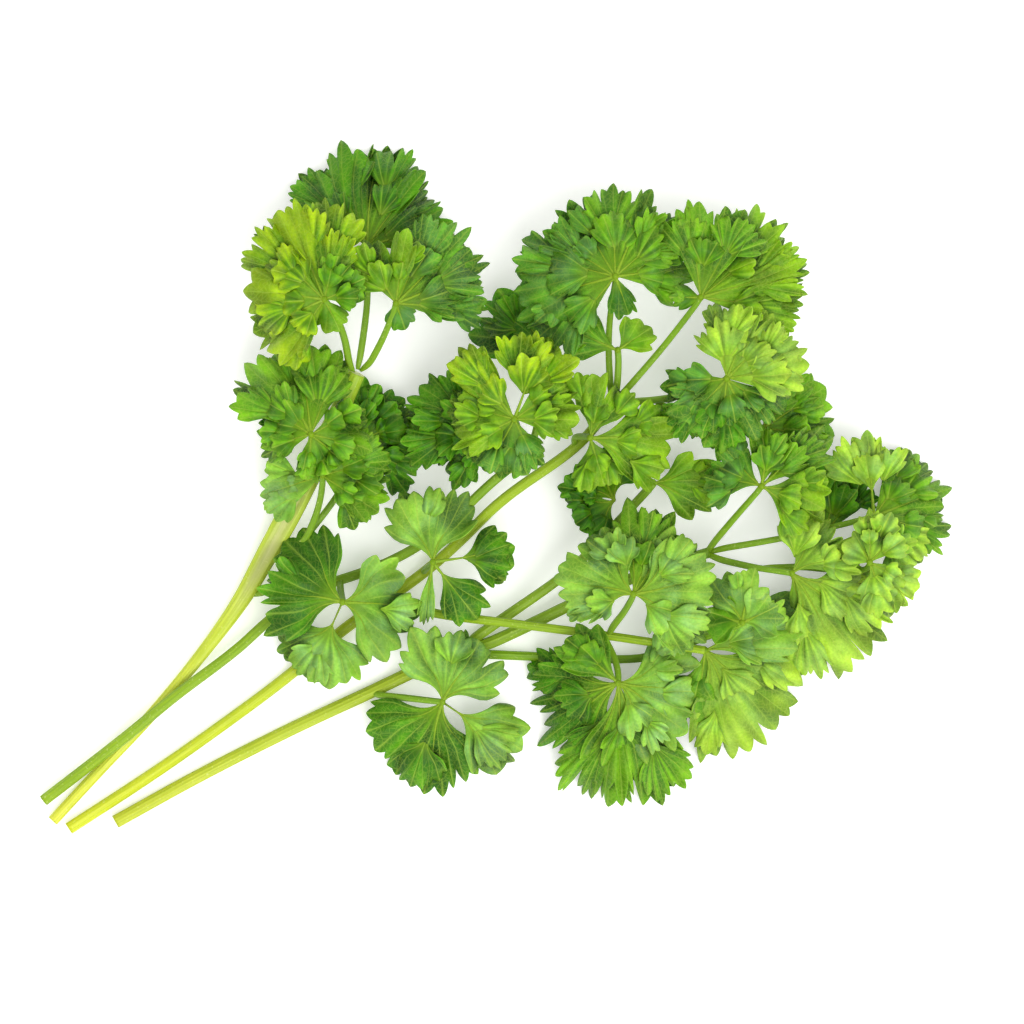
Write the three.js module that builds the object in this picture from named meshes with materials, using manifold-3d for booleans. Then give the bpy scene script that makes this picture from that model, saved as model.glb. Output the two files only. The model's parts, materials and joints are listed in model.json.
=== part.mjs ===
// A bunch of curly parsley lying on its side: cut stems, their branches and leaf stalks, and the leaves.
// Millimetres, +Z up. The bunch rests on Z = 0 with the middle of its outline at X = Y = 0. The cut ends lie at
// -X -Y and the leaves fan out to +X +Y. In names, north is +Y and east is +X.
import * as THREE from 'three';
import { mergeVertices } from 'three/addons/utils/BufferGeometryUtils.js';
import Module from 'manifold-3d';

const wasm = await Module();
wasm.setup();

// Driving dimensions.
const GAP = 0.3;                    // clear space between two pieces that touch
const LEAF_THICKNESS = 1.0;         // a leaf's ruffled sheet, taken as one smooth shell
const RUFFLE = 1.0;                 // how far the lobes of a leaflet rise and fall at its rim
const NOTCH = 0.16;                 // how deep the two notches between three lobes cut, as a part of the reach
const HUB_RADIUS = 1.4;             // the small knot where the leaflets of one leaf grow together
const NECK_WIDTH = 1.2;             // the bare foot of a leaflet that stands off from its hub
const BLADE_START = 0.6;            // where a leaflet begins, measured from its foot
const RADIAL_STEPS = 3;
const LOBE_STEPS = 6;               // three lobes and the notches between them, in sixths
const STEM_SIDES = 8;
const STALK_SIDES = 6;
const STEP_LENGTH = 7;              // the distance between two rings of a stem

const COLOURS = {
  stemPale: 0xbcc94a,
  stemGreen: 0x7fa52c,
  stalk: 0x6f9c34,
  leafDark: 0x3a7d1a,
  leafMid: 0x57982a,
  leafLight: 0x86b950,
};

// Each leaf: its hub, then its leaflets as [heading, reach, spread, rise, arch, neck].
// The heading is in degrees from +X towards +Y, the reach is from hub to tip, the spread is the half angle of
// the fan, the rise is the tip's height over the hub, the arch is the extra height halfway out, and the neck is
// the bare length before the fan opens.
const LEAVES = {
  leaf_northwest_left: {
    hub: [-43.5, 47.2, 28.7], tone: 'leafMid',
    leaflets: [[186, 22, 60, -6.5, 3], [45, 12.5, 46, -2.5, 1], [118, 28, 24, -10, 2]],
  },
  leaf_northwest_tip: {
    hub: [-32.9, 60.5, 15.7], tone: 'leafDark',
    leaflets: [[95, 26, 44, -16, 4], [28, 23, 28, -15.9, 2]],
  },
  leaf_northwest_right: {
    hub: [-25.6, 46.2, 25.5], tone: 'leafMid',
    leaflets: [[103, 19, 32, -1.2, 2], [24, 25, 44, -11.2, 2]],
  },
  leaf_west_top: {
    hub: [-46.8, 13.5, 24.5], tone: 'leafMid',
    leaflets: [[122, 26, 54, -11, 2], [200, 13, 34, -7.5, 1], [5, 16, 32, -3.8, 1]],
  },
  leaf_west_inner: {
    hub: [-35.9, 11.4, 12], tone: 'leafDark',
    leaflets: [[48, 14.5, 38, -6, 1], [-2, 19, 34, -7.5, 1]],
  },
  leaf_west_low: {
    hub: [-44, 3.3, 19], tone: 'leafMid',
    leaflets: [[-22, 19, 44, -0.5, 1], [200, 17, 22, -9, 1]],
  },
  leaf_centre_top: {
    hub: [4, 17.3, 31.3], tone: 'leafLight',
    leaflets: [
      [182, 18, 38, -7.5, 2], [130, 23, 17, -2.5, 2], [70, 23, 20, 0, 1, 8], [18, 17.5, 34, -3.8, 2],
      [262, 15.5, 44, -7.5, 1],
    ],
  },
  leaf_centre_back: {
    hub: [-4, 13.5, 17.6], tone: 'leafDark',
    leaflets: [[163, 19, 36, -6.2, 1], [225, 16, 32, -7.5, 1]],
  },
  leaf_north_tip: {
    hub: [29.2, 52.9, 30], tone: 'leafDark',
    leaflets: [
      [66, 24, 36, -10, 2], [132, 23, 26, -11.2, 2], [190, 27, 30, -10, 1], [8, 21, 20, -10, 1],
      [282, 11, 18, -3.8, 0],
    ],
  },
  leaf_north_small: {
    hub: [29.8, 34.5, 22.2], tone: 'leafMid',
    leaflets: [[150, 15, 22, -1.2, 1], [40, 10.5, 38, -1.2, 1]],
  },
  leaf_north_back: {
    hub: [13, 34.6, 14.4], tone: 'leafDark',
    leaflets: [[150, 21, 34, -6.2, 1]],
  },
  leaf_northeast_tip: {
    hub: [50.5, 47.7, 27.4], tone: 'leafMid',
    leaflets: [[82, 25, 28, -3, 2], [18, 29, 34, -12.5, 1], [180, 8, 34, -1.2, 0]],
  },
  leaf_northeast_low: {
    hub: [57, 27.4, 28.7], tone: 'leafLight',
    leaflets: [[48, 22, 54, -3.4, 2], [210, 17.5, 34, -7.5, 1], [-52, 17.5, 30, -8.8, 1]],
  },
  leaf_northeast_edge: {
    hub: [66, 15, 13.1], tone: 'leafMid',
    leaflets: [[30, 19, 46, -6.2, 1]],
  },
  leaf_middle_right: {
    hub: [22.9, 12.7, 24.8], tone: 'leafMid',
    leaflets: [[72, 17, 34, -2.5, 2], [-8, 22.5, 34, -6.2, 2], [284, 12.5, 24, -5, 0]],
  },
  leaf_middle_dark: {
    hub: [29, -3, 13.8], tone: 'leafDark',
    leaflets: [[130, 13, 50, -5, 0]],
  },
  leaf_inner_fan: {
    hub: [38.7, 1.4, 14.4], tone: 'leafMid',
    leaflets: [[-2, 17, 42, -2.5, 1]],
  },
  leaf_east_inner: {
    hub: [65.7, 0.5, 24.8], tone: 'leafMid',
    leaflets: [[152, 16, 36, -5, 1], [78, 16, 24, -2.5, 1], [40, 22, 18, -10, 1], [-20, 19, 34, -5, 1]],
  },
  leaf_east_tip: {
    hub: [93.9, -7, 14.4], tone: 'leafMid',
    leaflets: [[20, 21, 48, -14.7, 3], [-48, 17, 20, -9, 1], [95, 23, 20, -3.8, 1, 6]],
  },
  leaf_east_outer: {
    hub: [92.8, -18.5, 22.2], tone: 'leafLight',
    leaflets: [[65, 14, 36, 1.2, 1], [-48, 15, 36, -7.5, 1]],
  },
  leaf_east_low: {
    hub: [73.3, -21.2, 17], tone: 'leafLight',
    leaflets: [[46, 20, 38, -1, 1], [-40, 28, 33, -17.3, 3], [-78, 10, 14, -6.2, 0]],
  },
  leaf_east_back: {
    hub: [82, -11, 7.9], tone: 'leafDark',
    leaflets: [[68, 19, 28, -2.5, 1]],
  },
  leaf_southeast_low: {
    hub: [51.7, -40.5, 15.7], tone: 'leafLight',
    leaflets: [[18, 26, 24, -5, 2], [-45, 29, 37, -16, 3]],
  },
  leaf_southeast_top: {
    hub: [60.9, -33.6, 26.1], tone: 'leafLight',
    leaflets: [[95, 14.5, 46, -3.8, 1]],
  },
  leaf_south_top: {
    hub: [33.7, -26.4, 31.3], tone: 'leafLight',
    leaflets: [[152, 21, 54, -6.2, 2], [2, 22, 52, -6.2, 2], [72, 25, 15, -11.2, 1]],
  },
  leaf_south_tip: {
    hub: [29.9, -48.6, 17], tone: 'leafMid',
    leaflets: [
      [140, 17, 20, -1, 1], [202, 25, 40, -17.3, 3], [-20, 21, 44, -7.5, 2], [-84, 32, 22, -17.3, 3],
    ],
  },
  leaf_lower_west: {
    hub: [-39, -28.4, 16.5], tone: 'leafDark',
    leaflets: [[155, 22, 54, -5, 2], [8, 20, 48, -5, 2], [252, 24, 68, -10, 0, 8]],
  },
  leaf_lower_south: {
    hub: [-14, -53.4, 12.6], tone: 'leafMid',
    leaflets: [[75, 20, 46, -1.2, 2], [-33, 23, 30, -6.2, 1, 5], [240, 21, 52, -12.8, 1]],
  },
  leaf_lower_centre: {
    hub: [-16.4, -18.4, 17], tone: 'leafMid',
    leaflets: [
      [95, 20, 47, -2.5, 2], [8, 21, 30, -5, 1, 7], [-50, 17, 22, -5, 0, 3], [262, 16, 9, -6, 1],
    ],
  },
};

// Each stem or branch: the points of its centre line, its radius at the cut end and at the far end, and its
// colour. A line that carries a leaf names it last and stops just short of that leaf's hub.
const STEMS = {
  stem_pale: {
    route: [
      [-111.6, -83, 1.7], [-99.6, -70, 1.8], [-87, -56.6, 1.9], [-74.6, -41.6, 2.6], [-64.6, -28, 3.8],
      [-59, -18, 5.3], [-52, -5.4, 8.2], [-48.4, 2, 10], [-42, 15, 12.6], [-35.8, 28.5, 15.7],
    ],
    radii: [1.4, 1.9], tone: 'stemPale',
  },
  stem_dark: {
    route: [
      [-114, -78, 2.6], [-100, -67.2, 4.3], [-90, -59.3, 5.7], [-82.6, -53, 5.6], [-64.6, -39.4, 4],
      [-57.4, -32.6, 3.6], [-46, -25, 3.6], [-34, -21, 4.3], [-22, -15.5, 6.6], [-10, -6.5, 9.2],
      [-3.6, 0.2, 10.8], [4.5, 6.6, 12.6],
    ],
    radii: [1.5, 1.2], tone: 'stemGreen',
  },
  stem_yellow: {
    route: [
      [-107.6, -85, 1.7], [-87, -71.6, 1.7], [-74.6, -63, 1.7], [-53.4, -47.4, 1.9], [-38.4, -34.8, 2.3],
      [-19, -21.2, 3.8], [-8, -11.4, 5.8], [-0.5, -3.8, 7.9], [8, 2.4, 10.2], [20, 11, 13.1],
      [28.6, 21.5, 15.7],
    ],
    radii: [1.6, 1.3], tone: 'stemPale',
  },
  stem_thick: {
    route: [
      [-96, -83.4, 1.8], [-74.6, -71.6, 1.8], [-49.6, -59, 1.8], [-31, -50.4, 2], [-22, -46, 2.3],
      [-8, -40.2, 3.2],
    ],
    radii: [1.7, 1.7], tone: 'stemPale',
  },
  stem_side: {
    route: [
      [-26, -28.8, 4.5], [-21, -30.2, 6.1], [-13, -31.8, 8.4], [0.4, -33.4, 10], [13, -35, 11.3],
      [27, -36.8, 12.6],
    ],
    leaf: 'leaf_southeast_low', radii: [1.2, 1.1], tone: 'stemGreen',
  },
  branch_north: {
    route: [[-6.2, -37.4, 3.4], [3.4, -30.8, 4.8], [18.4, -20, 7.9], [30, -8, 10.5]],
    leaf: 'leaf_inner_fan', radii: [1.4, 1.1], tone: 'stemGreen',
  },
  branch_east: {
    route: [[-2.8, -38.9, 3.2], [6, -34.9, 4.3], [21, -27.6, 6.1], [38, -20.6, 8.4], [52.4, -16, 11]],
    radii: [1.6, 1.4], tone: 'stemGreen',
  },
  branch_south: {
    route: [[-5.2, -41.4, 2.6], [8.4, -42, 2.8], [22, -42.4, 3.4], [35.6, -42.6, 4.5], [50, -37.6, 11.8]],
    leaf: 'leaf_southeast_top', radii: [1.2, 1.0], tone: 'stemGreen',
  },
};

// Each leaf stalk: where it leaves its stem and the points on its way, and the leaf that it carries.
const STALKS = {
  stalk_northwest_left: { route: [[-37.6, 31.4, 17], [-39.2, 40, 22.2]], leaf: 'leaf_northwest_left' },
  stalk_northwest_tip: { route: [[-34.9, 32.2, 15.7], [-33, 46, 15.2]], leaf: 'leaf_northwest_tip' },
  stalk_northwest_right: {
    route: [[-32.4, 31.2, 17.3], [-28, 39.6, 22.2]],
    leaf: 'leaf_northwest_right',
  },
  stalk_west_top: { route: [[-47, 8.6, 15.2], [-47.2, 11.4, 19.6]], leaf: 'leaf_west_top' },
  stalk_west_inner: {
    route: [[-57.4, -25.6, 6], [-50, -14, 6.8], [-43.5, -6, 8.6], [-37.4, 3.4, 10.4]],
    leaf: 'leaf_west_inner',
  },
  stalk_west_low: {
    route: [[-48.8, -13.4, 9.3], [-46, -7.4, 11.2], [-44.4, -1.6, 14.6]],
    leaf: 'leaf_west_low',
  },
  stalk_centre_top: { route: [[5.6, 9.4, 15.7], [5, 13.6, 22.2]], leaf: 'leaf_centre_top' },
  stalk_north_tip: {
    route: [[27.8, 25, 16.5], [27.2, 36, 17.8], [28, 46, 22.7]],
    leaf: 'leaf_north_tip',
  },
  stalk_north_small: { route: [[29.4, 25.6, 18.8], [29.8, 30, 20.4]], leaf: 'leaf_north_small' },
  stalk_north_back: {
    route: [[8.2, 10.6, 13.9], [10.4, 20, 14.1], [11.6, 28, 14.1]],
    leaf: 'leaf_north_back',
  },
  stalk_northeast_tip: { route: [[32, 25, 17], [41, 35.4, 20.1]], leaf: 'leaf_northeast_tip' },
  stalk_northeast_low: {
    route: [[32, 21.6, 15.7], [42, 22.4, 16], [51, 24.6, 20.4]],
    leaf: 'leaf_northeast_low',
  },
  stalk_northeast_edge: { route: [[43, 19.6, 13.6], [54, 17, 12.6]], leaf: 'leaf_northeast_edge' },
  stalk_middle_right: { route: [[18.6, 12.8, 16], [20.6, 13.2, 19.9]], leaf: 'leaf_middle_right' },
  stalk_east_inner: { route: [[54, -13, 13.6], [59.4, -6.6, 17.8]], leaf: 'leaf_east_inner' },
  stalk_east_tip: { route: [[55.6, -15, 11.3], [73, -12, 11.8]], leaf: 'leaf_east_tip' },
  stalk_east_low: { route: [[55.2, -17.8, 12.3], [64, -19.8, 15.2]], leaf: 'leaf_east_low' },
  stalk_east_outer: {
    route: [[76.5, -19.6, 8.6], [84, -20.4, 9.2], [91.5, -20.6, 12.5]],
    leaf: 'leaf_east_outer',
  },
  stalk_south_top: { route: [[28.4, -34.4, 15.7], [31.4, -30.6, 23]], leaf: 'leaf_south_top' },
  stalk_south_tip: { route: [[27.4, -39.6, 12.6], [29.6, -43.8, 14.4]], leaf: 'leaf_south_tip' },
  stalk_lower_west: { route: [[-39.8, -24.8, 7.1], [-39.6, -26.4, 10]], leaf: 'leaf_lower_west' },
  stalk_lower_south: { route: [[-29.4, -51.8, 4.5], [-23, -52.4, 7.9]], leaf: 'leaf_lower_south' },
  stalk_lower_centre: { route: [[-18.6, -20.2, 7.9], [-17.6, -19.6, 11.3]], leaf: 'leaf_lower_centre' },
};
const STALK_RADII = [1.0, 0.85];

/** Makes a solid from a closed geometry, whose shared corners are merged first. */
function solidOf(geometry) {
  geometry.deleteAttribute('normal');
  geometry.deleteAttribute('uv');
  const merged = mergeVertices(geometry, 1e-4);
  return new wasm.Manifold(new wasm.Mesh({
    numProp: 3,
    vertProperties: merged.attributes.position.array,
    triVerts: Uint32Array.from(merged.index.array),
  }));
}

/** Makes a geometry for a mesh from a solid. */
function geometryOf(solid) {
  const mesh = solid.getMesh();
  const geometry = new THREE.BufferGeometry();
  geometry.setAttribute('position', new THREE.BufferAttribute(mesh.vertProperties, 3));
  geometry.setIndex(new THREE.BufferAttribute(mesh.triVerts, 1));
  geometry.computeVertexNormals();
  return geometry;
}

/** Keeps the largest body of a solid that a cut may have left in several. */
function largestBody(solid) {
  const bodies = solid.decompose();
  bodies.sort((a, b) => b.volume() - a.volume());
  return bodies[0];
}

/** Moves every corner of a geometry by a function of its place. */
function reshape(geometry, place) {
  const position = geometry.attributes.position;
  const corner = new THREE.Vector3();
  for (let i = 0; i < position.count; i++) {
    corner.fromBufferAttribute(position, i);
    place(corner);
    position.setXYZ(i, corner.x, corner.y, corner.z);
  }
  return geometry;
}

/** A round tube along a smooth line, whose radius changes evenly from one end to the other. */
function tube(points, [rootRadius, farRadius], sides, grow) {
  const path = new THREE.CatmullRomCurve3(points.map((point) => new THREE.Vector3(...point)));
  const steps = Math.max(2, Math.round(path.getLength() / STEP_LENGTH));
  const corners = Array.from({ length: sides }, (_, i) => {
    const angle = (2 * Math.PI * i) / sides;
    return new THREE.Vector2(Math.cos(angle), Math.sin(angle));
  });
  const geometry = new THREE.ExtrudeGeometry(new THREE.Shape(corners), { steps, extrudePath: path });
  const centres = path.getSpacedPoints(steps);
  return reshape(geometry, (corner) => {
    let nearest = 0;
    centres.forEach((centre, i) => {
      if (centre.distanceTo(corner) < centres[nearest].distanceTo(corner)) nearest = i;
    });
    const radius = THREE.MathUtils.lerp(rootRadius, farRadius, nearest / steps) + grow;
    corner.sub(centres[nearest]).multiplyScalar(radius).add(centres[nearest]);
  });
}

/** A leaflet's shell: a fan of three lobes that rises, arches and ruffles as it goes out from its hub. */
function leaflet(hub, [heading, reach, spread, rise, arch, neck = 0], grow) {
  const box = new THREE.BoxGeometry(1, 1, 1, RADIAL_STEPS, LOBE_STEPS, 1);
  const fan = reach - neck;
  const halfAngle = THREE.MathUtils.degToRad(spread) + grow / fan;
  return reshape(box, (corner) => {
    const out = corner.x + 0.5;
    const across = 2 * corner.y;
    const lobe = Math.sin(1.5 * Math.PI * across) ** 2;
    const rim = fan * (1 - NOTCH * lobe) + grow;
    const radius = THREE.MathUtils.lerp(BLADE_START, rim, out);
    const along = neck + radius * Math.cos(across * halfAngle);
    const aside = radius * Math.sin(across * halfAngle);
    const part = (neck + radius) / reach;
    const height = rise * part + 4 * arch * part * (1 - part) + RUFFLE * out * out * (1 - 2 * lobe);
    corner.set(along, aside, height + corner.z * (LEAF_THICKNESS + 2 * grow));
  }).rotateZ(THREE.MathUtils.degToRad(heading)).translate(...hub);
}

/** The bare foot between a hub and a leaflet that opens further out. */
function foot(hub, [heading, reach, , rise, arch, neck], grow) {
  const length = neck + 2 * BLADE_START;
  const width = NECK_WIDTH + 2 * grow;
  const bar = new THREE.BoxGeometry(length, width, width, 2, 1, 1);
  return reshape(bar, (corner) => {
    corner.x += length / 2;
    const part = corner.x / reach;
    corner.z += rise * part + 4 * arch * part * (1 - part);
  }).rotateZ(THREE.MathUtils.degToRad(heading)).translate(...hub);
}

/** One leaf: its hub and its leaflets, joined. */
function leafSolid({ hub, leaflets }, grow = 0) {
  let solid = solidOf(new THREE.IcosahedronGeometry(HUB_RADIUS + grow, 0).translate(...hub));
  for (const shape of leaflets) {
    solid = solid.add(solidOf(leaflet(hub, shape, grow)));
    if (shape[5]) solid = solid.add(solidOf(foot(hub, shape, grow)));
  }
  return solid;
}

/** A stem or stalk, which ends just short of the hub of the leaf that it carries, if it carries one. */
function stemSolid({ route, leaf, radii = STALK_RADII }, sides, grow = 0) {
  const points = [...route];
  if (leaf) {
    const hub = new THREE.Vector3(...LEAVES[leaf].hub);
    const last = new THREE.Vector3(...route.at(-1));
    const end = last.clone().sub(hub).setLength(HUB_RADIUS + GAP).add(hub);
    points.push(end.toArray());
  }
  return solidOf(tube(points, radii, sides, grow));
}

const bunch = new THREE.Group();
const cleared = [];

/** Adds a piece, cut back wherever it would come closer than the gap to a piece that is already there. */
function addPiece(name, solid, clearance, tone) {
  let piece = solid;
  for (const other of cleared) {
    piece = piece.subtract(other);
  }
  cleared.push(clearance);
  const material = new THREE.MeshStandardMaterial({ color: COLOURS[tone], roughness: 0.6, metalness: 0 });
  const mesh = new THREE.Mesh(geometryOf(largestBody(piece)), material);
  mesh.name = name;
  bunch.add(mesh);
}

for (const [name, stem] of Object.entries(STEMS)) {
  addPiece(name, stemSolid(stem, STEM_SIDES), stemSolid(stem, STEM_SIDES, GAP), stem.tone);
}
for (const [name, stalk] of Object.entries(STALKS)) {
  addPiece(name, stemSolid(stalk, STALK_SIDES), stemSolid(stalk, STALK_SIDES, GAP), 'stalk');
}
for (const [name, leaf] of Object.entries(LEAVES)) {
  addPiece(name, leafSolid(leaf), leafSolid(leaf, GAP), leaf.tone);
}

// The bunch rests on Z = 0 with its outline centred on the origin.
const outline = new THREE.Box3().setFromObject(bunch);
const middle = outline.getCenter(new THREE.Vector3());
bunch.position.set(-middle.x, -middle.y, -outline.min.z);

export default bunch;
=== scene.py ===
"""Looks for a bunch of curly parsley that lies on its side.

Four cut stems run together at one end and fork into branches and stalks, and each stalk carries a leaf
of fan-shaped leaflets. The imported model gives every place: this script dresses it with fine surfaces.
Lengths inside the script are millimetres until a mesh is put in place, in metres.
"""

import sys

import json
import logging
from dataclasses import dataclass, replace
from enum import Enum

import bpy
import numpy as np
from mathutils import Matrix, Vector

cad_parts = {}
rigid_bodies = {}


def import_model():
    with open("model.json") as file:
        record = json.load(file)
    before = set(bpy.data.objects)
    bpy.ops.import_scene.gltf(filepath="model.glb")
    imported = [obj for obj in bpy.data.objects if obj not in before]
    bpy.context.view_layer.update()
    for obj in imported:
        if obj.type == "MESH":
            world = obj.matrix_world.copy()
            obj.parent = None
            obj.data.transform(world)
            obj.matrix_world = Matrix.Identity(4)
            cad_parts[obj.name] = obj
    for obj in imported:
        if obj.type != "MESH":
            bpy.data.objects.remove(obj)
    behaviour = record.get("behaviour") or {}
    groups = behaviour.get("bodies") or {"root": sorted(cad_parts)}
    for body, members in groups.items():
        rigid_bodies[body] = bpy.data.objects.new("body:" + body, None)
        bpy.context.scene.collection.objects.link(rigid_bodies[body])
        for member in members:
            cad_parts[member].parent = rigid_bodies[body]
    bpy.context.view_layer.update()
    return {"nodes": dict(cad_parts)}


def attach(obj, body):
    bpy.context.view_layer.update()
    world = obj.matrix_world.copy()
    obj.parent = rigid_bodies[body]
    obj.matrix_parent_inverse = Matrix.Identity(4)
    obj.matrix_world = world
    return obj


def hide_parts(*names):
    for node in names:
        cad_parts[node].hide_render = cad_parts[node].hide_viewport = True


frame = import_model()

Array = np.ndarray
MM = 0.001
BODY = "root"
LEAF_SEED, STEM_SEED = 700, 11
LOG = logging.getLogger("parsley")


def smooth(value: Array, low: float, high: float) -> Array:
    """A smooth step: 0 below low, 1 above high, and 3x^2 - 2x^3 of the share between."""
    share = np.clip((value - low) / (high - low), 0.0, 1.0)
    return share * share * (3.0 - 2.0 * share)


def blend(first: Array, second: Array, share: Array) -> Array:
    """The straight mix of two colours or fields, share 0 being the first and 1 the second."""
    return first + (second - first) * share


def linear(red: int, green: int, blue: int) -> Array:
    """A screen colour, 0 to 255, as the linear colour that a shader takes."""
    value = np.array([red, green, blue], float) / 255.0
    return np.where(value <= 0.04045, value / 12.92, ((value + 0.055) / 1.055) ** 2.4)


def dapple(rng: np.random.Generator, x: Array, y: Array, size: float) -> Array:
    """Soft patches between about -1 and 1: the sum of six plane waves whose length is near size.

    Args:
        rng: Seeded source of the waves' headings and phases.
        x: Places along X, in mm.
        y: Places along Y, in mm.
        size: The usual width of a patch and its gap, in mm.

    Returns:
        The field, in the shape of x.
    """
    total = np.zeros(np.broadcast(x, y).shape)
    for _ in range(6):
        heading, phase = rng.uniform(0, 2 * np.pi, 2)
        number = 2 * np.pi / (size * rng.uniform(0.7, 1.5))
        total += np.sin(number * (x * np.cos(heading) + y * np.sin(heading)) + phase)
    return total / 3.0


def running(steps: Array, axis: int) -> Array:
    """The running sum of steps along an axis, with a zero put in front."""
    pad = [(1, 0) if i == axis else (0, 0) for i in range(steps.ndim)]
    return np.pad(np.cumsum(steps, axis), pad)


# ---------------------------------------------------------------------------------------- meshes


@dataclass
class Patch:
    """Part of a piece's surface: corners, faces and what the materials read at each corner."""

    points: Array  # (n, 3), mm
    faces: Array  # (m, 4), counter-clockwise from outside
    tint: Array  # (n, 3), linear colour
    place: Array  # (n, 3), what the material's fine pattern follows, mm
    chart: Array  # (m, 4, 2), each face's corners on the patch's own square
    rounded: Array  # (m,), whether a face is shaded smooth
    material: Array  # (m,), slot number


class Piece:
    """Collects patches and makes one object of them."""

    def __init__(self, name: str, materials: list[bpy.types.Material]) -> None:
        """Starts an empty piece.

        Args:
            name: The object's name.
            materials: Its material slots, in order.
        """
        self.name = name
        self.materials = materials
        self.patches: list[Patch] = []

    def add(self, patch: Patch) -> None:
        """Adds one patch."""
        self.patches.append(patch)

    def _joined(self, name: str) -> Array:
        """One field of every patch, end to end."""
        return np.concatenate([getattr(patch, name) for patch in self.patches])

    def _chart(self) -> Array:
        """Every patch's chart, shrunk into its own cell of a square of cells."""
        fill, gap = 0.96, 0.02
        side = int(np.ceil(np.sqrt(len(self.patches))))
        cells = [
            (patch.chart * fill + gap + (number % side, number // side)) / side
            for number, patch in enumerate(self.patches)
        ]
        return np.concatenate(cells)

    def build(self) -> bpy.types.Object:
        """Makes the object, with its colours, pattern places and a map with one cell for each patch.

        Returns:
            The object, at the origin and unscaled, linked to the scene.
        """
        points = self._joined("points") * MM
        points[:, 2] = np.maximum(points[:, 2], 0.0)
        starts = np.cumsum([0] + [len(patch.points) for patch in self.patches[:-1]])
        faces = np.concatenate([p.faces + start for p, start in zip(self.patches, starts)])
        mesh = bpy.data.meshes.new(self.name)
        mesh.vertices.add(len(points))
        mesh.vertices.foreach_set("co", points.astype(np.float32).ravel())
        mesh.loops.add(faces.size)
        mesh.loops.foreach_set("vertex_index", faces.astype(np.int32).ravel())
        mesh.polygons.add(len(faces))
        mesh.polygons.foreach_set("loop_start", np.arange(0, faces.size, 4, dtype=np.int32))
        mesh.polygons.foreach_set("material_index", self._joined("material").astype(np.int32))
        tint = self._joined("tint")
        colour = mesh.color_attributes.new("tint", "FLOAT_COLOR", "POINT")
        colour.data.foreach_set("color", np.c_[tint, np.ones(len(tint))].astype(np.float32).ravel())
        place = mesh.attributes.new("place", "FLOAT_VECTOR", "POINT")
        place.data.foreach_set("vector", self._joined("place").astype(np.float32).ravel())
        chart = mesh.uv_layers.new(name="OFBake")
        chart.data.foreach_set("uv", self._chart().astype(np.float32).ravel())
        mesh.update(calc_edges=True)
        mesh.validate(verbose=False)
        mesh.polygons.foreach_set("use_smooth", self._joined("rounded"))
        for material in self.materials:
            mesh.materials.append(material)
        piece = bpy.data.objects.new(self.name, mesh)
        bpy.context.scene.collection.objects.link(piece)
        return piece


def grid_faces(rows: int, columns: int) -> Array:
    """The faces of a grid of corners stored row by row, counter-clockwise when rows run up a page.

    Args:
        rows: Corners along the first direction.
        columns: Corners along the second direction.

    Returns:
        Faces as an (m, 4) array, row by row.
    """
    first = (np.arange(rows - 1)[:, None] * columns + np.arange(columns - 1)).ravel()
    return np.stack([first, first + 1, first + columns + 1, first + columns], 1)


def grid_normals(points: Array) -> Array:
    """Unit normals of a grid of points: the cross product of its slopes along rows and columns."""
    normal = np.cross(np.gradient(points, axis=0), np.gradient(points, axis=1))
    return normal / np.maximum(np.linalg.norm(normal, axis=2, keepdims=True), 1e-9)


# -------------------------------------------------------------------------------------- finishes


@dataclass(frozen=True)
class BladeFinish:
    """The colours of one sort of blade, on screen scales: its middle, its teeth, and a painted sheen
    that stands for the pale bluish reflection on its waxy surface.
    """

    blade: tuple[int, int, int]
    teeth: tuple[int, int, int]
    painted_sheen: tuple[int, int, int]
    painted_sheen_share: float  # how much of the blade the painted sheen covers


class Tone(Enum):
    """The sorts of blade on one bunch, from dark to pale green. DEEP goes mostly to the low leaves at
    the back, and its dark green is partly painted shade.
    """

    DEEP = BladeFinish((38, 91, 0), (72, 127, 5), (62, 110, 34), 0.3)
    WAXY = BladeFinish((59, 110, 19), (78, 131, 23), (88, 131, 70), 0.7)
    MID = BladeFinish((67, 120, 5), (101, 149, 15), (80, 129, 46), 0.35)
    FRESH = BladeFinish((84, 133, 5), (123, 162, 16), (95, 139, 46), 0.3)
    GOLD = BladeFinish((80, 128, 0), (145, 172, 12), (94, 138, 26), 0.25)
    LIGHT = BladeFinish((116, 159, 38), (149, 182, 46), (125, 165, 90), 0.5)
    PALE = BladeFinish((102, 150, 42), (124, 166, 50), (122, 166, 98), 0.75)


VEIN = linear(163, 190, 68)
HEART = linear(114, 145, 19)
CUT_TINT = linear(216, 222, 150)
GROOVE_TINT = linear(196, 196, 134)
UNDERSIDE = linear(118, 150, 78)
FEWEST_TEETH = 5
FOLD_START = 0.7  # mm below the blade at which a folded lobe starts
SMALLEST_FOLDED = 12  # reach of a leaflet, in mm, up to which none of its lobes folds over


# ---------------------------------------------------------------------------------------- leaves


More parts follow.
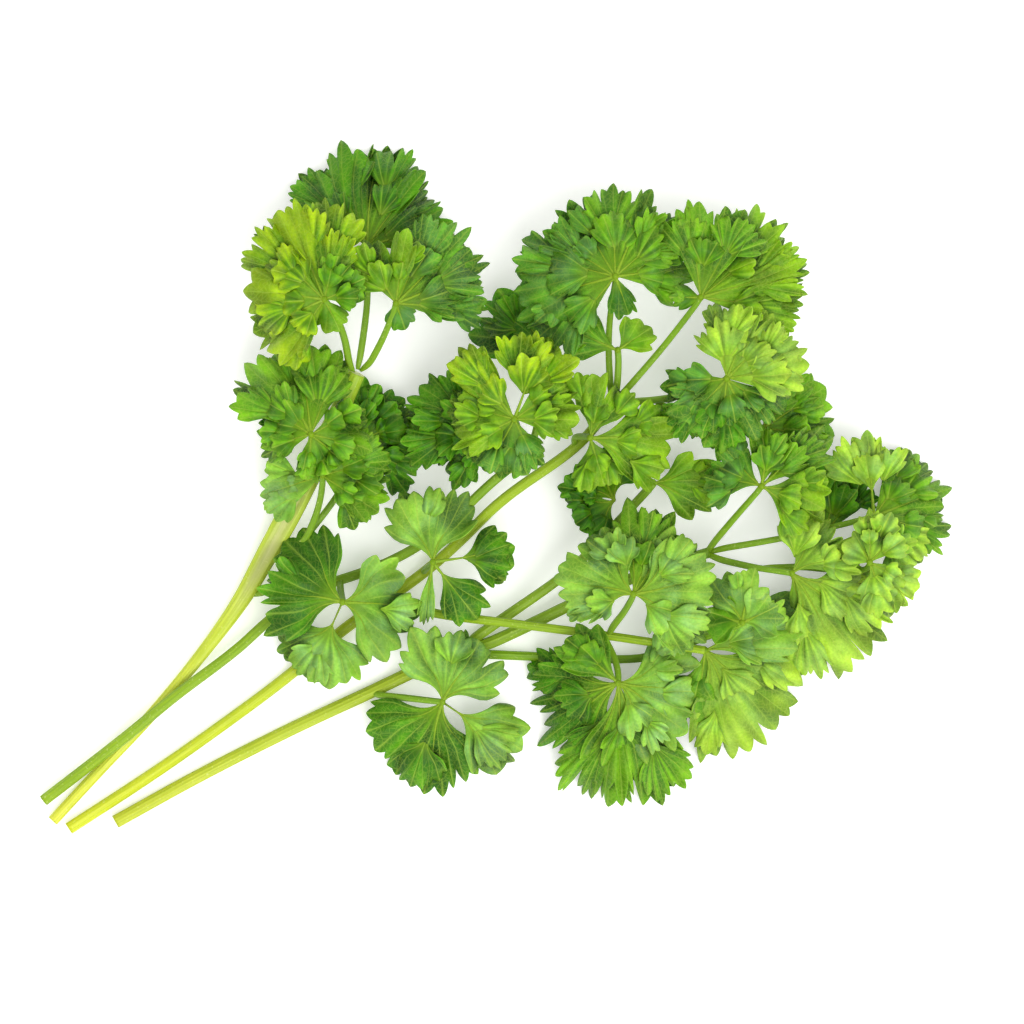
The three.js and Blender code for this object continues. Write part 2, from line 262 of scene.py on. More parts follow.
@dataclass
class Margin:
    """The toothed margin of a fan, worked out at grid columns that fall on every tooth and notch.

    A fan from side -1 to side 1 is shared among lobes and their teeth. Across one tooth the radius
    falls from its tip to the notch on either side by 0.5|x|^2 + 0.5|x|, which makes a broad
    tooth with a slight point.
    """

    reach: float  # mm
    teeth: int
    rng: np.random.Generator
    teeth_per_lobe: float = 3.6
    cleft: float = 0.19  # how far the notch between two lobes cuts in
    notch: float = 0.08  # how far the notch between two teeth cuts in
    falling_off: float = 0.26  # how much shorter the outermost teeth are
    columns: int = 8  # grid steps across a tooth

    def __post_init__(self) -> None:
        """Shares the fan among its teeth, and works out each column."""
        lobes = max(1, round(self.teeth / self.teeth_per_lobe))
        counts = np.full(lobes, 3)
        wider = max(0, round((self.teeth - 3 * lobes) / 2))
        counts[self.rng.permutation(lobes)[:wider]] += 2
        lobe_of = np.repeat(np.arange(lobes), counts)
        self.count = len(lobe_of)
        widths = self.rng.uniform(0.6, 1.4, self.count)
        edges = running(widths / widths.sum(), 0) * 2 - 1
        middle = (edges[:-1] + edges[1:]) / 2
        ends = np.cumsum(counts)
        starts = ends - counts
        centre_tooth = (starts + ends - 1) // 2
        self.lobe_middle = middle[centre_tooth]
        from_centre = np.arange(self.count) - centre_tooth[lobe_of]
        tips = self._tips(middle, from_centre / np.maximum((counts[lobe_of] - 1) / 2, 1), lobe_of)
        cuts = self._cuts(tips, lobe_of)
        step = np.arange(self.count * self.columns + 1)
        self.tooth = np.minimum(step // self.columns, self.count - 1)
        self.cross = (step - self.tooth * self.columns) / self.columns * 2 - 1
        self.fan = blend(edges[self.tooth], edges[self.tooth + 1], (self.cross + 1) / 2)
        notch_radius = np.where(self.cross < 0, cuts[self.tooth], cuts[self.tooth + 1])
        size = np.abs(self.cross)
        self.radius = blend(tips[self.tooth], notch_radius, 0.5 * size**2 + 0.5 * size)
        self.turn = step / self.columns - 0.5  # a whole number at each tooth's middle
        self.lobe = lobe_of[self.tooth]
        lobe_middle = self.lobe_middle[self.lobe]
        self.lobe_span = np.where(
            self.fan < lobe_middle,
            lobe_middle - edges[starts][self.lobe],
            edges[ends][self.lobe] - lobe_middle,
        )
        self.lobe_cross = (self.fan - lobe_middle) / self.lobe_span

    def _tips(self, middle: Array, inside: Array, lobe_of: Array) -> Array:
        """Radius of each tooth's tip, shorter towards the fan's sides and each lobe's sides.

        Args:
            middle: Each tooth's place across the fan, -1 to 1.
            inside: Its place across its lobe, -1 to 1.
            lobe_of: Its lobe's number.

        Returns:
            Radii in mm, the longest being the reach.
        """
        tips = (
            self.reach
            * (1 - self.falling_off * np.abs(middle) ** 3.5)
            * (1 - 0.07 * inside**2)
            * self.rng.uniform(0.9, 1.04, self.count)
            * self.rng.uniform(0.9, 1.0, lobe_of[-1] + 1)[lobe_of]
        )
        tips *= self.reach / tips.max()
        return tips

    def _cuts(self, tips: Array, lobe_of: Array) -> Array:
        """Radius of the notch on either side of each tooth, deeper between two lobes.

        Args:
            tips: Radius of each tooth's tip, mm.
            lobe_of: Each tooth's lobe.

        Returns:
            Radii in mm, one more than there are teeth.
        """
        cuts = np.empty(self.count + 1)
        depth = np.where(
            lobe_of[:-1] != lobe_of[1:],
            self.cleft * self.rng.uniform(0.6, 1.6, self.count - 1),
            self.notch * self.rng.uniform(0.5, 1.4, self.count - 1),
        )
        cuts[1:-1] = np.minimum(tips[:-1], tips[1:]) * (1 - depth)
        cuts[[0, -1]] = tips[[0, -1]] * self.rng.uniform(0.62, 0.76, 2)
        return cuts

    def across(self, out: Array) -> Array:
        """Where each column lies across the fan, -1 to 1, at each share of the way out.

        A column starts close to its lobe's main vein and spreads to its place at the margin, as the
        power 1 + 1.1(1 - out)^2 of its share of the lobe, so the veins fork.

        Args:
            out: Shares of the way out, one for each row.

        Returns:
            Places across, rows by columns.
        """
        power = 1 + 1.1 * (1 - out[:, None]) ** 2
        bent = np.sign(self.lobe_cross) * np.abs(self.lobe_cross) ** power
        return self.lobe_middle[self.lobe] + bent * self.lobe_span


@dataclass
class Leaflet:
    """One fan-shaped leaflet: a thin crimped sheet that grows from its leaf's hub."""

    heading: float  # degrees from +X
    reach: float  # mm from the hub to the longest tooth
    spread: float  # half the fan's angle, degrees
    rise: float  # mm from the hub up to the tip
    arch: float  # mm that the middle stands over the line from hub to tip
    tone: Tone
    neck: float = 0.0  # bare length before the fan opens, mm
    crimp: float = 42.0  # steepest slope of the ruffle at the margin, degrees
    tooth_width: float = 3.9  # mm along the margin
    rows: int = 24
    thickness: float = 0.24
    lift: float = 0.0  # mm that a folded lobe stands over the blade below it
    vein: float = 0.12  # how clearly a vein shows along each tooth
    fullness: float = 1.2  # how much wider than its place the crimped sheet grows

    def middle_height(self, radius: Array) -> Array:
        """Height over the hub: a straight rise plus a parabola that stands arch over it halfway."""
        part = radius / self.reach
        return self.rise * part + 4 * self.arch * part * (1 - part)

    def folded(self, frill: float, rng: np.random.Generator) -> list["Leaflet"]:
        """The small lobes that fold up over the blade and lie on it.

        Args:
            frill: How many there are: 0 none, and 1 one for each 26 degrees of the fan and one for
                each 40 nearer the hub. The second set grows only over a half.
            rng: Seeded source of their places.

        Returns:
            Small leaflets that open from points on the blade.
        """
        if self.reach <= SMALLEST_FOLDED:
            return []
        tiers = [(round(frill * self.spread / 13), (0.34, 0.5), (0.86, 1.0), (0.8, 2.2))]
        if frill > 0.5:
            tiers.append((round(frill * self.spread / 20), (0.16, 0.32), (0.56, 0.78), (1.4, 3.2)))
        lobes = []
        for count, necks, reaches, lifts in tiers:
            for aim in np.linspace(-0.75, 0.75, count) if count > 1 else np.zeros(count):
                reach = self.reach * rng.uniform(*reaches)
                lobes.append(
                    Leaflet(
                        self.heading + self.spread * (aim + rng.uniform(-0.15, 0.15)),
                        reach,
                        rng.uniform(34, 50),
                        self.rise * reach / self.reach,
                        self.arch,
                        self.tone,
                        neck=self.reach * rng.uniform(*necks),
                        crimp=rng.uniform(30, 60),
                        tooth_width=rng.uniform(2.5, 3.4),
                        rows=15,
                        lift=rng.uniform(*lifts),
                    )
                )
        return lobes

    def grow(self, hub: Array, drawn_in: float, rng: np.random.Generator) -> tuple[Patch, list["Rib"]]:
        """Works out the sheet.

        The sheet starts as a polar grid. Each tooth curls along its length, each row is crimped
        like a ribbon, and the whole follows the leaflet's rise and arch.

        Args:
            hub: The leaf's hub, mm.
            drawn_in: Share by which the fan is narrower at its hub, which rounds its sides.
            rng: Seeded source of this leaflet's small differences.

        Returns:
            The sheet, and the ribs that run out along its lobes.
        """
        half = np.radians(self.spread * self.fullness)
        fan = self.reach - self.neck
        teeth = max(FEWEST_TEETH, round(2 * half * fan * 1.1 / self.tooth_width))
        margin = Margin(fan, teeth, rng)
        out = np.linspace(0, 1, self.rows) ** 0.85
        across = margin.across(out)
        radius, lift = self._curled(margin, out, rng)
        share = radius / fan
        run, climb = self._crimped(margin, across, share, rng)
        opening = half * (1 - drawn_in * (1 - smooth(share, 0.0, 0.55)))
        turned = opening * (2 * run - 1)
        crimp_height = climb * 2 * opening * radius
        # Veins sink a little between puffed fields, and the whole sheet is slightly uneven.
        flat_across = half * radius
        to_tooth = np.abs(across - self._at_middle(margin, across)) * flat_across
        to_lobe = np.abs(across - margin.lobe_middle[margin.lobe]) * flat_across
        puff = -0.12 * np.exp(-((to_lobe / 0.45) ** 2)) - 0.07 * np.exp(-((to_tooth / 0.3) ** 2))
        along = self.neck + radius * np.cos(turned)
        aside = radius * np.sin(turned)
        uneven = 0.55 * dapple(rng, along, aside, 12.0) + 0.18 * dapple(rng, along, aside, 4.5)
        height = self.middle_height(self.neck + radius) + lift + crimp_height
        if self.lift:  # a folded lobe starts inside the blade and comes out of it slowly
            height = height - FOLD_START + (self.lift + FOLD_START) * smooth(share, 0.02, 0.6)
        height = height + (puff + uneven) * smooth(share, 0.05, 0.4)
        heading = np.radians(self.heading)
        points = np.stack(
            [
                hub[0] + along * np.cos(heading) - aside * np.sin(heading),
                hub[1] + along * np.sin(heading) + aside * np.cos(heading),
                self._above_table(hub[2] + height),
            ],
            2,
        )
        # Painted light and shade: soft ridges and hollows that run out from the hub are only painted,
        # for the sheet's shape has none of them.
        painted_fold_light = dapple(rng, half * across * self.reach, 0.3 * radius, 5.0)
        tint = self._tint(rng, points, out, share, crimp_height, painted_fold_light)
        on_vein = smooth(out, 0.2, 0.5)[:, None] * (margin.cross == 0)[None]
        tint = blend(tint, VEIN, (self.vein * on_vein)[..., None])
        place = np.stack([radius, to_tooth, to_lobe], 2)
        chart = self._chart(out, half * across, margin.radius / fan, half)
        return self._shell(points, tint, place, out, chart), self._ribs(hub, points, margin)

    @staticmethod
    def _curled(margin: Margin, out: Array, rng: np.random.Generator) -> tuple[Array, Array]:
        """Bends each column up or down towards its tooth, by turns more and less, its length kept.

        The slope grows from nothing halfway out to the tooth's own curl at the margin. Radius and
        lift are the running sums of its cosine and sine.

        Args:
            margin: The toothed margin.
            out: Shares of the way out, one for each row.
            rng: Seeded source of the curls.

        Returns:
            Distance from the fan's root and lift, in mm, both rows by columns.
        """
        start = 0.5
        high = np.where(np.arange(margin.count) % 2 == 0, 1.0, -1.0)
        tooth_curl = rng.normal(0.0, 0.42, margin.count) + 0.25 * high
        curl = np.interp(margin.turn, np.arange(margin.count), tooth_curl)
        angle = curl * smooth(out, 0.55, 1.0)[:, None] ** 1.2
        step = np.diff(out)[:, None]
        middle = (angle[1:] + angle[:-1]) / 2
        length = running(np.cos(middle) * step, 0)
        lift = running(np.sin(middle) * step, 0)
        radius = start + (margin.radius - start) * length * (0.5 + 0.5 / np.maximum(length[-1], 0.5))
        return radius, lift * margin.radius

    def _crimped(
        self, margin: Margin, across: Array, share: Array, rng: np.random.Generator
    ) -> tuple[Array, Array]:
        """Swings each row like a ribbon, so that teeth and lobes stand by turns high and low.

        The slope is the sine of the tooth count, up to about the crimp angle, plus a slower sine of
        the lobe count. Run and climb are the running sums of its cosine and sine.

        Args:
            margin: The toothed margin.
            across: Place across the fan at each corner, -1 to 1.
            share: Share of the way out at each corner.
            rng: Seeded source of the swings.

        Returns:
            Place along the row, 0 to 1, and climb, both as shares of the row's width.
        """
        steep = np.radians(self.crimp) * rng.uniform(0.7, 1.3, margin.count + 1)
        swing = np.interp(margin.turn, np.arange(margin.count + 1) - 0.5, steep)
        slope = swing * np.sin(np.pi * margin.turn) * smooth(share, 0.38, 1.0)
        lobe_turn = margin.lobe + 0.5 * margin.lobe_cross
        lobe_phase = rng.choice([-1.0, 1.0]) * rng.uniform(0.6, 1.1)
        lobe_swing = lobe_phase * rng.uniform(0.4, 1.3, margin.lobe[-1] + 1)[margin.lobe]
        slope = slope + lobe_swing * np.sin(np.pi * lobe_turn) * smooth(share, 0.1, 0.85)
        middle = (slope[:, 1:] + slope[:, :-1]) / 2
        width = np.diff(across, axis=1)
        run = running(np.cos(middle) * width, 1)
        climb = running(np.sin(middle) * width, 1)
        total = run[:, -1:]
        run, climb = run / total, climb / total
        climb = climb - climb.mean(1, keepdims=True) - (climb[:, -1:] - climb[:, :1]) * (run - 0.5)
        return run, climb

    def _ribs(self, hub: Array, points: Array, margin: Margin) -> list["Rib"]:
        """The raised veins: one along the middle of each lobe, and one along a bare neck.

        Args:
            hub: The leaf's hub, mm.
            points: Corners of the sheet, mm.
            margin: The toothed margin.

        Returns:
            The ribs.
        """
        if self.lift:
            return []
        middle = np.searchsorted(margin.fan, margin.lobe_middle)
        length = int(0.62 * len(points))
        neck = np.linspace(0, self.neck, 6 if self.neck else 1)
        heading = np.radians(self.heading)
        bare = hub + np.stack(
            [neck * np.cos(heading), neck * np.sin(heading), self.middle_height(neck)], 1
        )
        ribs = []
        for column in middle:
            course = points[2:length, column].copy()
            course[:, 2] += 0.1 * np.linspace(1, 0, len(course))
            main = abs(margin.fan[column]) < 0.35
            ribs.append(Rib(np.concatenate([bare, course]), 0.5 if main else 0.3))
        return ribs

    @staticmethod
    def _above_table(height: Array) -> Array:
        """Heights kept above the table by a soft floor: 0.2 + ln(1 + e^(3(z - 0.2)))/3, in mm."""
        return 0.2 + np.logaddexp(0.0, 3 * (height - 0.2)) / 3

    @staticmethod
    def _at_middle(margin: Margin, across: Array) -> Array:
        """Where the middle of each column's own tooth lies across the fan, row by row."""
        return across[:, margin.tooth * margin.columns + margin.columns // 2]

    def _tint(
        self,
        rng: np.random.Generator,
        points: Array,
        out: Array,
        share: Array,
        high: Array,
        painted_fold_light: Array,
    ) -> Array:
        """Colour at each corner: yellower teeth, a glowing heart, a painted sheen in patches, painted
        light on the crimp's raised places and along painted ridges, and painted shade in hollows.

        Args:
            rng: Seeded source of the patches.
            points: The sheet's corners, mm.
            out: Share of the way out, for each row.
            share: The same by radius, for each corner.
            high: Height of the crimp at each corner, mm.
            painted_fold_light: Painted light and shade for soft ridges and hollows that run out from
                the hub, which the sheet's shape lacks, about -1 to 1.

        Returns:
            Linear colours, rows by columns by 3.
        """
        finish = self.tone.value
        blade, teeth, painted_sheen = (linear(*c) for c in (finish.blade, finish.teeth, finish.painted_sheen))
        x, y = points[..., 0], points[..., 1]
        patch = dapple(rng, x, y, 13.0)
        fine = dapple(rng, x, y, 4.0)
        edge = smooth(out[:, None] + 0.08 * fine, 0.62, 1.0)
        colour = blend(blade, teeth, (edge * (0.65 + 0.35 * np.tanh(patch)))[..., None])
        # Painted sheen: in patches the blade turns towards a pale bluish colour that stands for the
        # reflection on its waxy surface.
        waxy = finish.painted_sheen_share * np.clip(0.5 + 0.7 * dapple(rng, x, y, 9.0), 0, 1)
        colour = blend(colour, painted_sheen, waxy[..., None] * smooth(share, 0.2, 0.6)[..., None])
        # Painted light: the crimp's raised places turn towards the lighter teeth colour.
        colour = blend(colour, teeth, 0.55 * smooth(high, 0.1, 1.4)[..., None])
        colour = blend(colour, teeth, 0.5 * smooth(out, 0.93, 1.0)[:, None, None])
        # Painted light: the painted ridges turn towards the lighter teeth colour.
        colour = blend(colour, teeth, 0.5 * smooth(painted_fold_light, 0.15, 1.1)[..., None])
        colour = blend(colour, HEART, 0.65 * (1 - smooth(share, 0.05, 0.5))[..., None])
        # Brightness: patches at random, then painted shade in the crimp's hollows and painted light and
        # shade along the painted ridges and hollows.
        light = (1 + 0.14 * patch + 0.07 * fine) * (1 - 0.4 * smooth(-high, 0.1, 1.5))
        light = light * (0.98 + 0.35 * np.clip(painted_fold_light, -1.2, 1.2) * smooth(share, 0.05, 0.4))
        # Painted light: a lobe folded over the blade is made lighter.
        light = light * (1.12 if self.lift else 1.0)
        return colour * np.clip(light, 0.42, 1.5)[..., None]

    @staticmethod
    def _chart(out: Array, angle: Array, length: Array, half: float) -> Array:
        """Lays the fan out flat on a square whose left side holds the hub, halfway up.

        Args:
            out: Share of the way out, for each row.
            angle: Each corner's angle from the fan's middle, radians.
            length: Each column's length, as a share of the longest.
            half: Half the fan's angle, radians.

        Returns:
            Places on the square, 0 to 1, one for each corner.
        """
        widest = max(np.sin(min(half, 1.5)), 0.3)
        aside = 0.5 + 0.5 * out[:, None] * np.sin(angle) / widest
        flat = np.stack([out[:, None] * np.cos(angle) * length, 0.5 + (aside - 0.5) * length], 2)
        return flat.reshape(-1, 2)

    def _shell(self, points: Array, tint: Array, place: Array, out: Array, chart: Array) -> Patch:
        """Gives the sheet its thickness, with a closed rim.

        Args:
            points: Corners of the middle of the sheet, rows by columns by 3, mm.
            tint: Their linear colours.
            place: What the fine pattern follows.
            out: Share of the way out, for each row.
            chart: The corners laid flat on a square.

        Returns:
            One closed patch: the upper face, the lower face and the rim between them.
        """
        rows, columns = points.shape[:2]
        normal = grid_normals(points)
        half_thick = 0.5 * self.thickness * (1 - 0.45 * smooth(out, 0.8, 1.0))[:, None, None]
        upper = points + normal * half_thick
        lower = points - normal * half_thick
        lower[..., 2] = np.maximum(lower[..., 2], 0.05)
        upper[..., 2] = np.maximum(upper[..., 2], lower[..., 2] + 0.05)
        under = blend(tint, tint.mean((0, 1)) * 0.5 + UNDERSIDE * 0.5, 0.45)
        # Rows run away from the hub and columns anticlockwise, so the upper faces list row, column.
        quads = grid_faces(rows, columns)
        top = quads[:, [0, 3, 2, 1]]
        bottom = quads + rows * columns
        number = np.arange(rows * columns).reshape(rows, columns)
        loop = np.concatenate(
            [number[0, :-1], number[:-1, -1], number[-1, :0:-1], number[:0:-1, 0]]
        )
        after = np.roll(loop, -1)
        rim = np.stack([loop, after, after + rows * columns, loop + rows * columns], 1)
        faces = np.concatenate([top, bottom, rim])
        # The upper face takes the left half of the chart, the lower one the right, and the rim lies
        # just outside the upper one.
        half_cell = chart * (0.47, 0.96)
        left, right = half_cell + (0.01, 0.02), half_cell + (0.51, 0.02)
        away = left - (0.01, 0.5)
        outer = left + 0.006 * away / np.maximum(np.linalg.norm(away, axis=1), 1e-6)[:, None]
        rim_chart = np.stack([left[loop], left[after], outer[after], outer[loop]], 1)
        return Patch(
            points=np.concatenate([upper.reshape(-1, 3), lower.reshape(-1, 3)]),
            faces=faces,
            tint=np.concatenate([tint.reshape(-1, 3), under.reshape(-1, 3)]),
            place=np.tile(place.reshape(-1, 3), (2, 1)),
            chart=np.concatenate([left[top], right[quads], rim_chart]),
            rounded=np.arange(len(faces)) < len(top) + len(bottom),
            material=np.zeros(len(faces), int),
        )


# --------------------------------------------------------------------------------- stems and ribs


CAP_RINGS = np.array([0.9, 0.6, 0.25])  # the rings that close an end, as shares of its radius


def evened(line: Array, spacing: float, rounds: int) -> Array:
    """Points at even steps along a line, each then moved halfway to its neighbours' mean, ends held.

    Args:
        line: The line's points, (n, k), whose first three columns are the place, mm.
        spacing: Step along the line, mm.
        rounds: How many times the line is eased.

    Returns:
        The new points, with the other columns carried along.
    """
    reach = running(np.linalg.norm(np.diff(line[:, :3], axis=0), axis=1), 0)
    steps = max(6, int(np.ceil(reach[-1] / spacing)))
    at = np.linspace(0, reach[-1], steps + 1)
    eased = np.stack([np.interp(at, reach, column) for column in line.T], 1)
    for _ in range(rounds):
        eased[1:-1] += 0.5 * ((eased[:-2] + eased[2:]) / 2 - eased[1:-1])
    return eased


def tangents(line: Array) -> Array:
    """Unit directions along a line of points."""
    slope = np.gradient(line, axis=0)
    return slope / np.maximum(np.linalg.norm(slope, axis=1, keepdims=True), 1e-9)


def packed(node: str) -> tuple[Array, Array]:
    """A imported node's corners, (n, 3), and the three corners of each of its triangles, in mm."""
    mesh = frame["nodes"][node].data
    corners = np.empty(len(mesh.vertices) * 3)
    mesh.vertices.foreach_get("co", corners)
    corners = corners.reshape(-1, 3) / MM
    mesh.calc_loop_triangles()
    index = np.empty(len(mesh.loop_triangles) * 3, np.int32)
    mesh.loop_triangles.foreach_get("vertices", index)
    return corners, corners[index.reshape(-1, 3)]


def centre_line(node: str, spacing: float = 1.5) -> Array:
    """The middle and radius of a round piece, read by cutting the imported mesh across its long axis.

    Each cut gives short straight edges. The middle is the mean of their midpoints, weighted by
    length, and the radius is their mean distance from the line through the middles.

    Args:
        node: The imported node's name.
        spacing: Distance between cuts, mm.

    Returns:
        Rows of x, y, z and radius, mm, from the -X, -Y end to the other.
    """
    corners, triangles = packed(node)
    axis = np.linalg.svd(corners - corners.mean(0), full_matrices=False)[2][0]
    axis *= np.sign(axis[0] + axis[1])
    depth = triangles @ axis
    low, high = depth.min(), depth.max()
    count = max(4, round((high - low) / spacing))
    cuts = np.linspace(low, high, count + 1)[1:-1]
    middles, edges = [], []
    for cut in cuts:
        start = depth - cut
        end = np.roll(start, -1, 1)
        crossing = (start < 0) != (end < 0)
        share = np.where(crossing, start / np.where(crossing, start - end, 1), 0)
        spot = triangles + share[..., None] * (np.roll(triangles, -1, 1) - triangles)
        cut_through = crossing.sum(1) == 2
        pair = spot[cut_through][crossing[cut_through]].reshape(-1, 2, 3)
        length = np.linalg.norm(pair[:, 1] - pair[:, 0], axis=1)
        middle = pair.mean(1)
        edges.append((middle, length))
        middles.append((middle * length[:, None]).sum(0) / length.sum())
    line = np.array(middles)
    ahead = tangents(line)
    radius = []
    for centre, way, (middle, length) in zip(line, ahead, edges):
        arm = middle - centre
        away = np.linalg.norm(arm - (arm @ way)[:, None] * way, axis=1)
        radius.append((away * length).sum() / length.sum())
    first = line[0] + ahead[0] * ((low - line[0] @ axis) / (ahead[0] @ axis))
    last = line[-1] + ahead[-1] * ((high - line[-1] @ axis) / (ahead[-1] @ axis))
    line = np.concatenate([[first], line, [last]])
    radius = np.array([radius[0], *radius, radius[-1]])
    return np.c_[line, radius]


def tube(
    line: Array,
    section: Array,
    tint: Array,
    place: Array,
    cap_material: tuple[int, int] = (0, 0),
    cap_depth: tuple[float, float] = (0.0, 0.0),
    cap_tint: Array | None = None,
) -> Patch:
    """Carries a closed section along a line and closes both ends.

    The section stands across the line's direction: its first way is level and its second is up.
    Each end is closed by three smaller rings and a strip of faces over the last one.

    Args:
        line: Points of the line, (n, 3), mm.
        section: Offsets across and up at each point, (n, sides, 2), mm, anticlockwise.
        tint: Linear colours, (n, sides, 3).
        place: What the fine pattern follows, (n, sides, 3).
        cap_material: Slot numbers of the first and the last end.
        cap_depth: How far the middle of each end is sunk, mm.
        cap_tint: Linear colour of the ends, or nothing for the side's own.

    Returns:
        One closed patch.
    """
    ahead = tangents(line)
    level = np.cross(np.array([0.0, 0.0, 1.0]), ahead)
    level /= np.linalg.norm(level, axis=1, keepdims=True)
    up = np.cross(ahead, level)
    sides = section.shape[1]
    rings = line[:, None] + section[..., :1] * level[:, None] + section[..., 1:] * up[:, None]
    # Each block is a run of rings: the first end's, from its middle out, the side's, the last end's.
    blocks, tints, places = [rings], [tint], [place]
    for end, way, depth in ((0, -1, cap_depth[0]), (-1, 1, cap_depth[1])):
        middle = rings[end].mean(0)
        shrunk = CAP_RINGS[:, None, None]
        cap = middle + (rings[end] - middle) * shrunk - way * depth * (1 - shrunk**2) * ahead[end]
        cap_colour = tint[end] if cap_tint is None else cap_tint
        at = 0 if way < 0 else len(blocks)
        blocks.insert(at, cap[::way])
        tints.insert(at, np.broadcast_to(cap_colour, cap.shape))
        places.insert(at, np.broadcast_to(place[end], cap.shape))
    points = np.concatenate(blocks)
    rows = len(points)
    row, side = np.meshgrid(np.arange(rows - 1), np.arange(sides), indexing="ij")
    corners = [(row, side), (row, side + 1), (row + 1, side + 1), (row + 1, side)]
    faces = np.stack([down * sides + over % sides for down, over in corners], 2).reshape(-1, 4)
    chart = np.stack(
        [np.stack([over / sides, down / (rows + 1)], 2) for down, over in corners], 2
    ).reshape(-1, 4, 2)
    # The last small ring at each end is closed by a strip of faces from side to side.
    half = sides // 2
    k = np.arange(half - 1)
    strip = np.stack([k, k + 1, sides - 2 - k, sides - 1 - k], 1)
    faces = np.concatenate([faces, strip[:, ::-1], strip + (rows - 1) * sides])
    turn = 2 * np.pi * (np.arange(sides) + 0.5) / sides
    disc = np.stack([np.cos(turn), np.sin(turn)], 1) * 0.45 / (rows + 1) + 0.5 / (rows + 1)
    low_disc = disc + (0.0, (rows - 0.5) / (rows + 1))
    high_disc = low_disc + (2.0 / (rows + 1), 0)
    chart = np.concatenate([chart, low_disc[strip[:, ::-1]], high_disc[strip]])
    material = np.zeros(len(faces), int)
    side_faces = (rows - 1) * sides
    cap_faces = len(CAP_RINGS) * sides
    material[:cap_faces] = cap_material[0]
    material[side_faces - cap_faces : side_faces] = cap_material[1]
    material[side_faces : side_faces + half - 1] = cap_material[0]
    material[side_faces + half - 1 :] = cap_material[1]
    return Patch(
        points=points.reshape(-1, 3),
        faces=faces,
        tint=np.concatenate(tints).reshape(-1, 3),
        place=np.concatenate(places).reshape(-1, 3),
        chart=chart,
        rounded=np.ones(len(faces), bool),
        material=material,
    )


def round_section(radius: Array, sides: int) -> Array:
    """A circle's offsets at each step: radius times the cosine and sine of the turn."""
    turn = 2 * np.pi * np.arange(sides) / sides
    return radius[:, None, None] * np.stack([np.cos(turn), np.sin(turn)], 1)


# ------------------------------------------------------------------------------------- materials


class Recipe:
    """Builds a material's nodes, one short call for each."""

    def __init__(self, name: str) -> None:
        """Starts a material with a lone Principled shader.

        Args:
            name: The material's name.
        """
        self.material = bpy.data.materials.new(name)
        self.material.use_nodes = True
        self.tree = self.material.node_tree
        self.shader = self.tree.nodes["Principled BSDF"]

    def node(self, kind: str, **settings: object) -> bpy.types.Node:
        """Adds a node and sets its properties."""
        made = self.tree.nodes.new(kind)
        for name, value in settings.items():
            setattr(made, name, value)
        return made

    def feed(self, socket: bpy.types.NodeSocket, value: object) -> None:
        """Links a socket to another node's output, or sets its value."""
        if isinstance(value, bpy.types.NodeSocket):
            self.tree.links.new(value, socket)
        else:
            socket.default_value = value

    def dress(self, **values: object) -> None:
        """Feeds the shader's inputs, named with underscores for spaces."""
        for name, value in values.items():
            self.feed(self.shader.inputs[name.replace("_", " ")], value)

    def place(self) -> bpy.types.NodeSocket:
        """The place in the object's own space."""
        return self.node("ShaderNodeTexCoord").outputs["Object"]

    def maths(self, operation: str, *values: object) -> bpy.types.NodeSocket:
        """A Math node on sockets or numbers."""
        made = self.node("ShaderNodeMath", operation=operation)
        for socket, value in zip(made.inputs, values):
            self.feed(socket, value)
        return made.outputs[0]

    def ramp(
        self, value: object, low: float, high: float, start: float = 0.0, end: float = 1.0
    ) -> bpy.types.NodeSocket:
        """Maps low..high to start..end with a smooth step."""
        made = self.node("ShaderNodeMapRange", interpolation_type="SMOOTHSTEP")
        for socket, number in zip(made.inputs, (value, low, high, start, end)):
            self.feed(socket, number)
        return made.outputs[0]

    def mix(self, share: object, first: object, second: object) -> bpy.types.NodeSocket:
        """Mixes two colours."""
        made = self.node("ShaderNodeMix", data_type="RGBA")
        self.feed(made.inputs[0], share)
        self.feed(made.inputs[6], first)
        self.feed(made.inputs[7], second)
        return made.outputs[2]

    def noise(self, vector: object, scale: float, detail: float = 3.0) -> bpy.types.NodeSocket:
        """A Noise texture's value."""
        made = self.node("ShaderNodeTexNoise")
        self.feed(made.inputs["Vector"], vector)
        self.feed(made.inputs["Scale"], scale)
        self.feed(made.inputs["Detail"], detail)
        return made.outputs["Fac"]

    def voronoi(self, feature: str, vector: object, scale: float) -> bpy.types.NodeSocket:
        """A Voronoi texture's distance."""
        made = self.node("ShaderNodeTexVoronoi", feature=feature)
        self.feed(made.inputs["Vector"], vector)
        self.feed(made.inputs["Scale"], scale)
        return made.outputs["Distance"]

    def attribute(self, name: str, output: str) -> bpy.types.NodeSocket:
        """A value that the mesh carries."""
        return self.node("ShaderNodeAttribute", attribute_name=name).outputs[output]

    def bump(self, height: object, distance: float, strength: float) -> None:
        """Feeds a bump made from a height to the shader's normal."""
        made = self.node("ShaderNodeBump")
        self.feed(made.inputs["Height"], height)
        self.feed(made.inputs["Distance"], distance)
        self.feed(made.inputs["Strength"], strength)
        self.feed(self.shader.inputs["Normal"], made.outputs[0])


def rgba(colour: Array) -> tuple[float, float, float, float]:
    """A linear colour with full alpha."""
    return (*map(float, colour), 1.0)


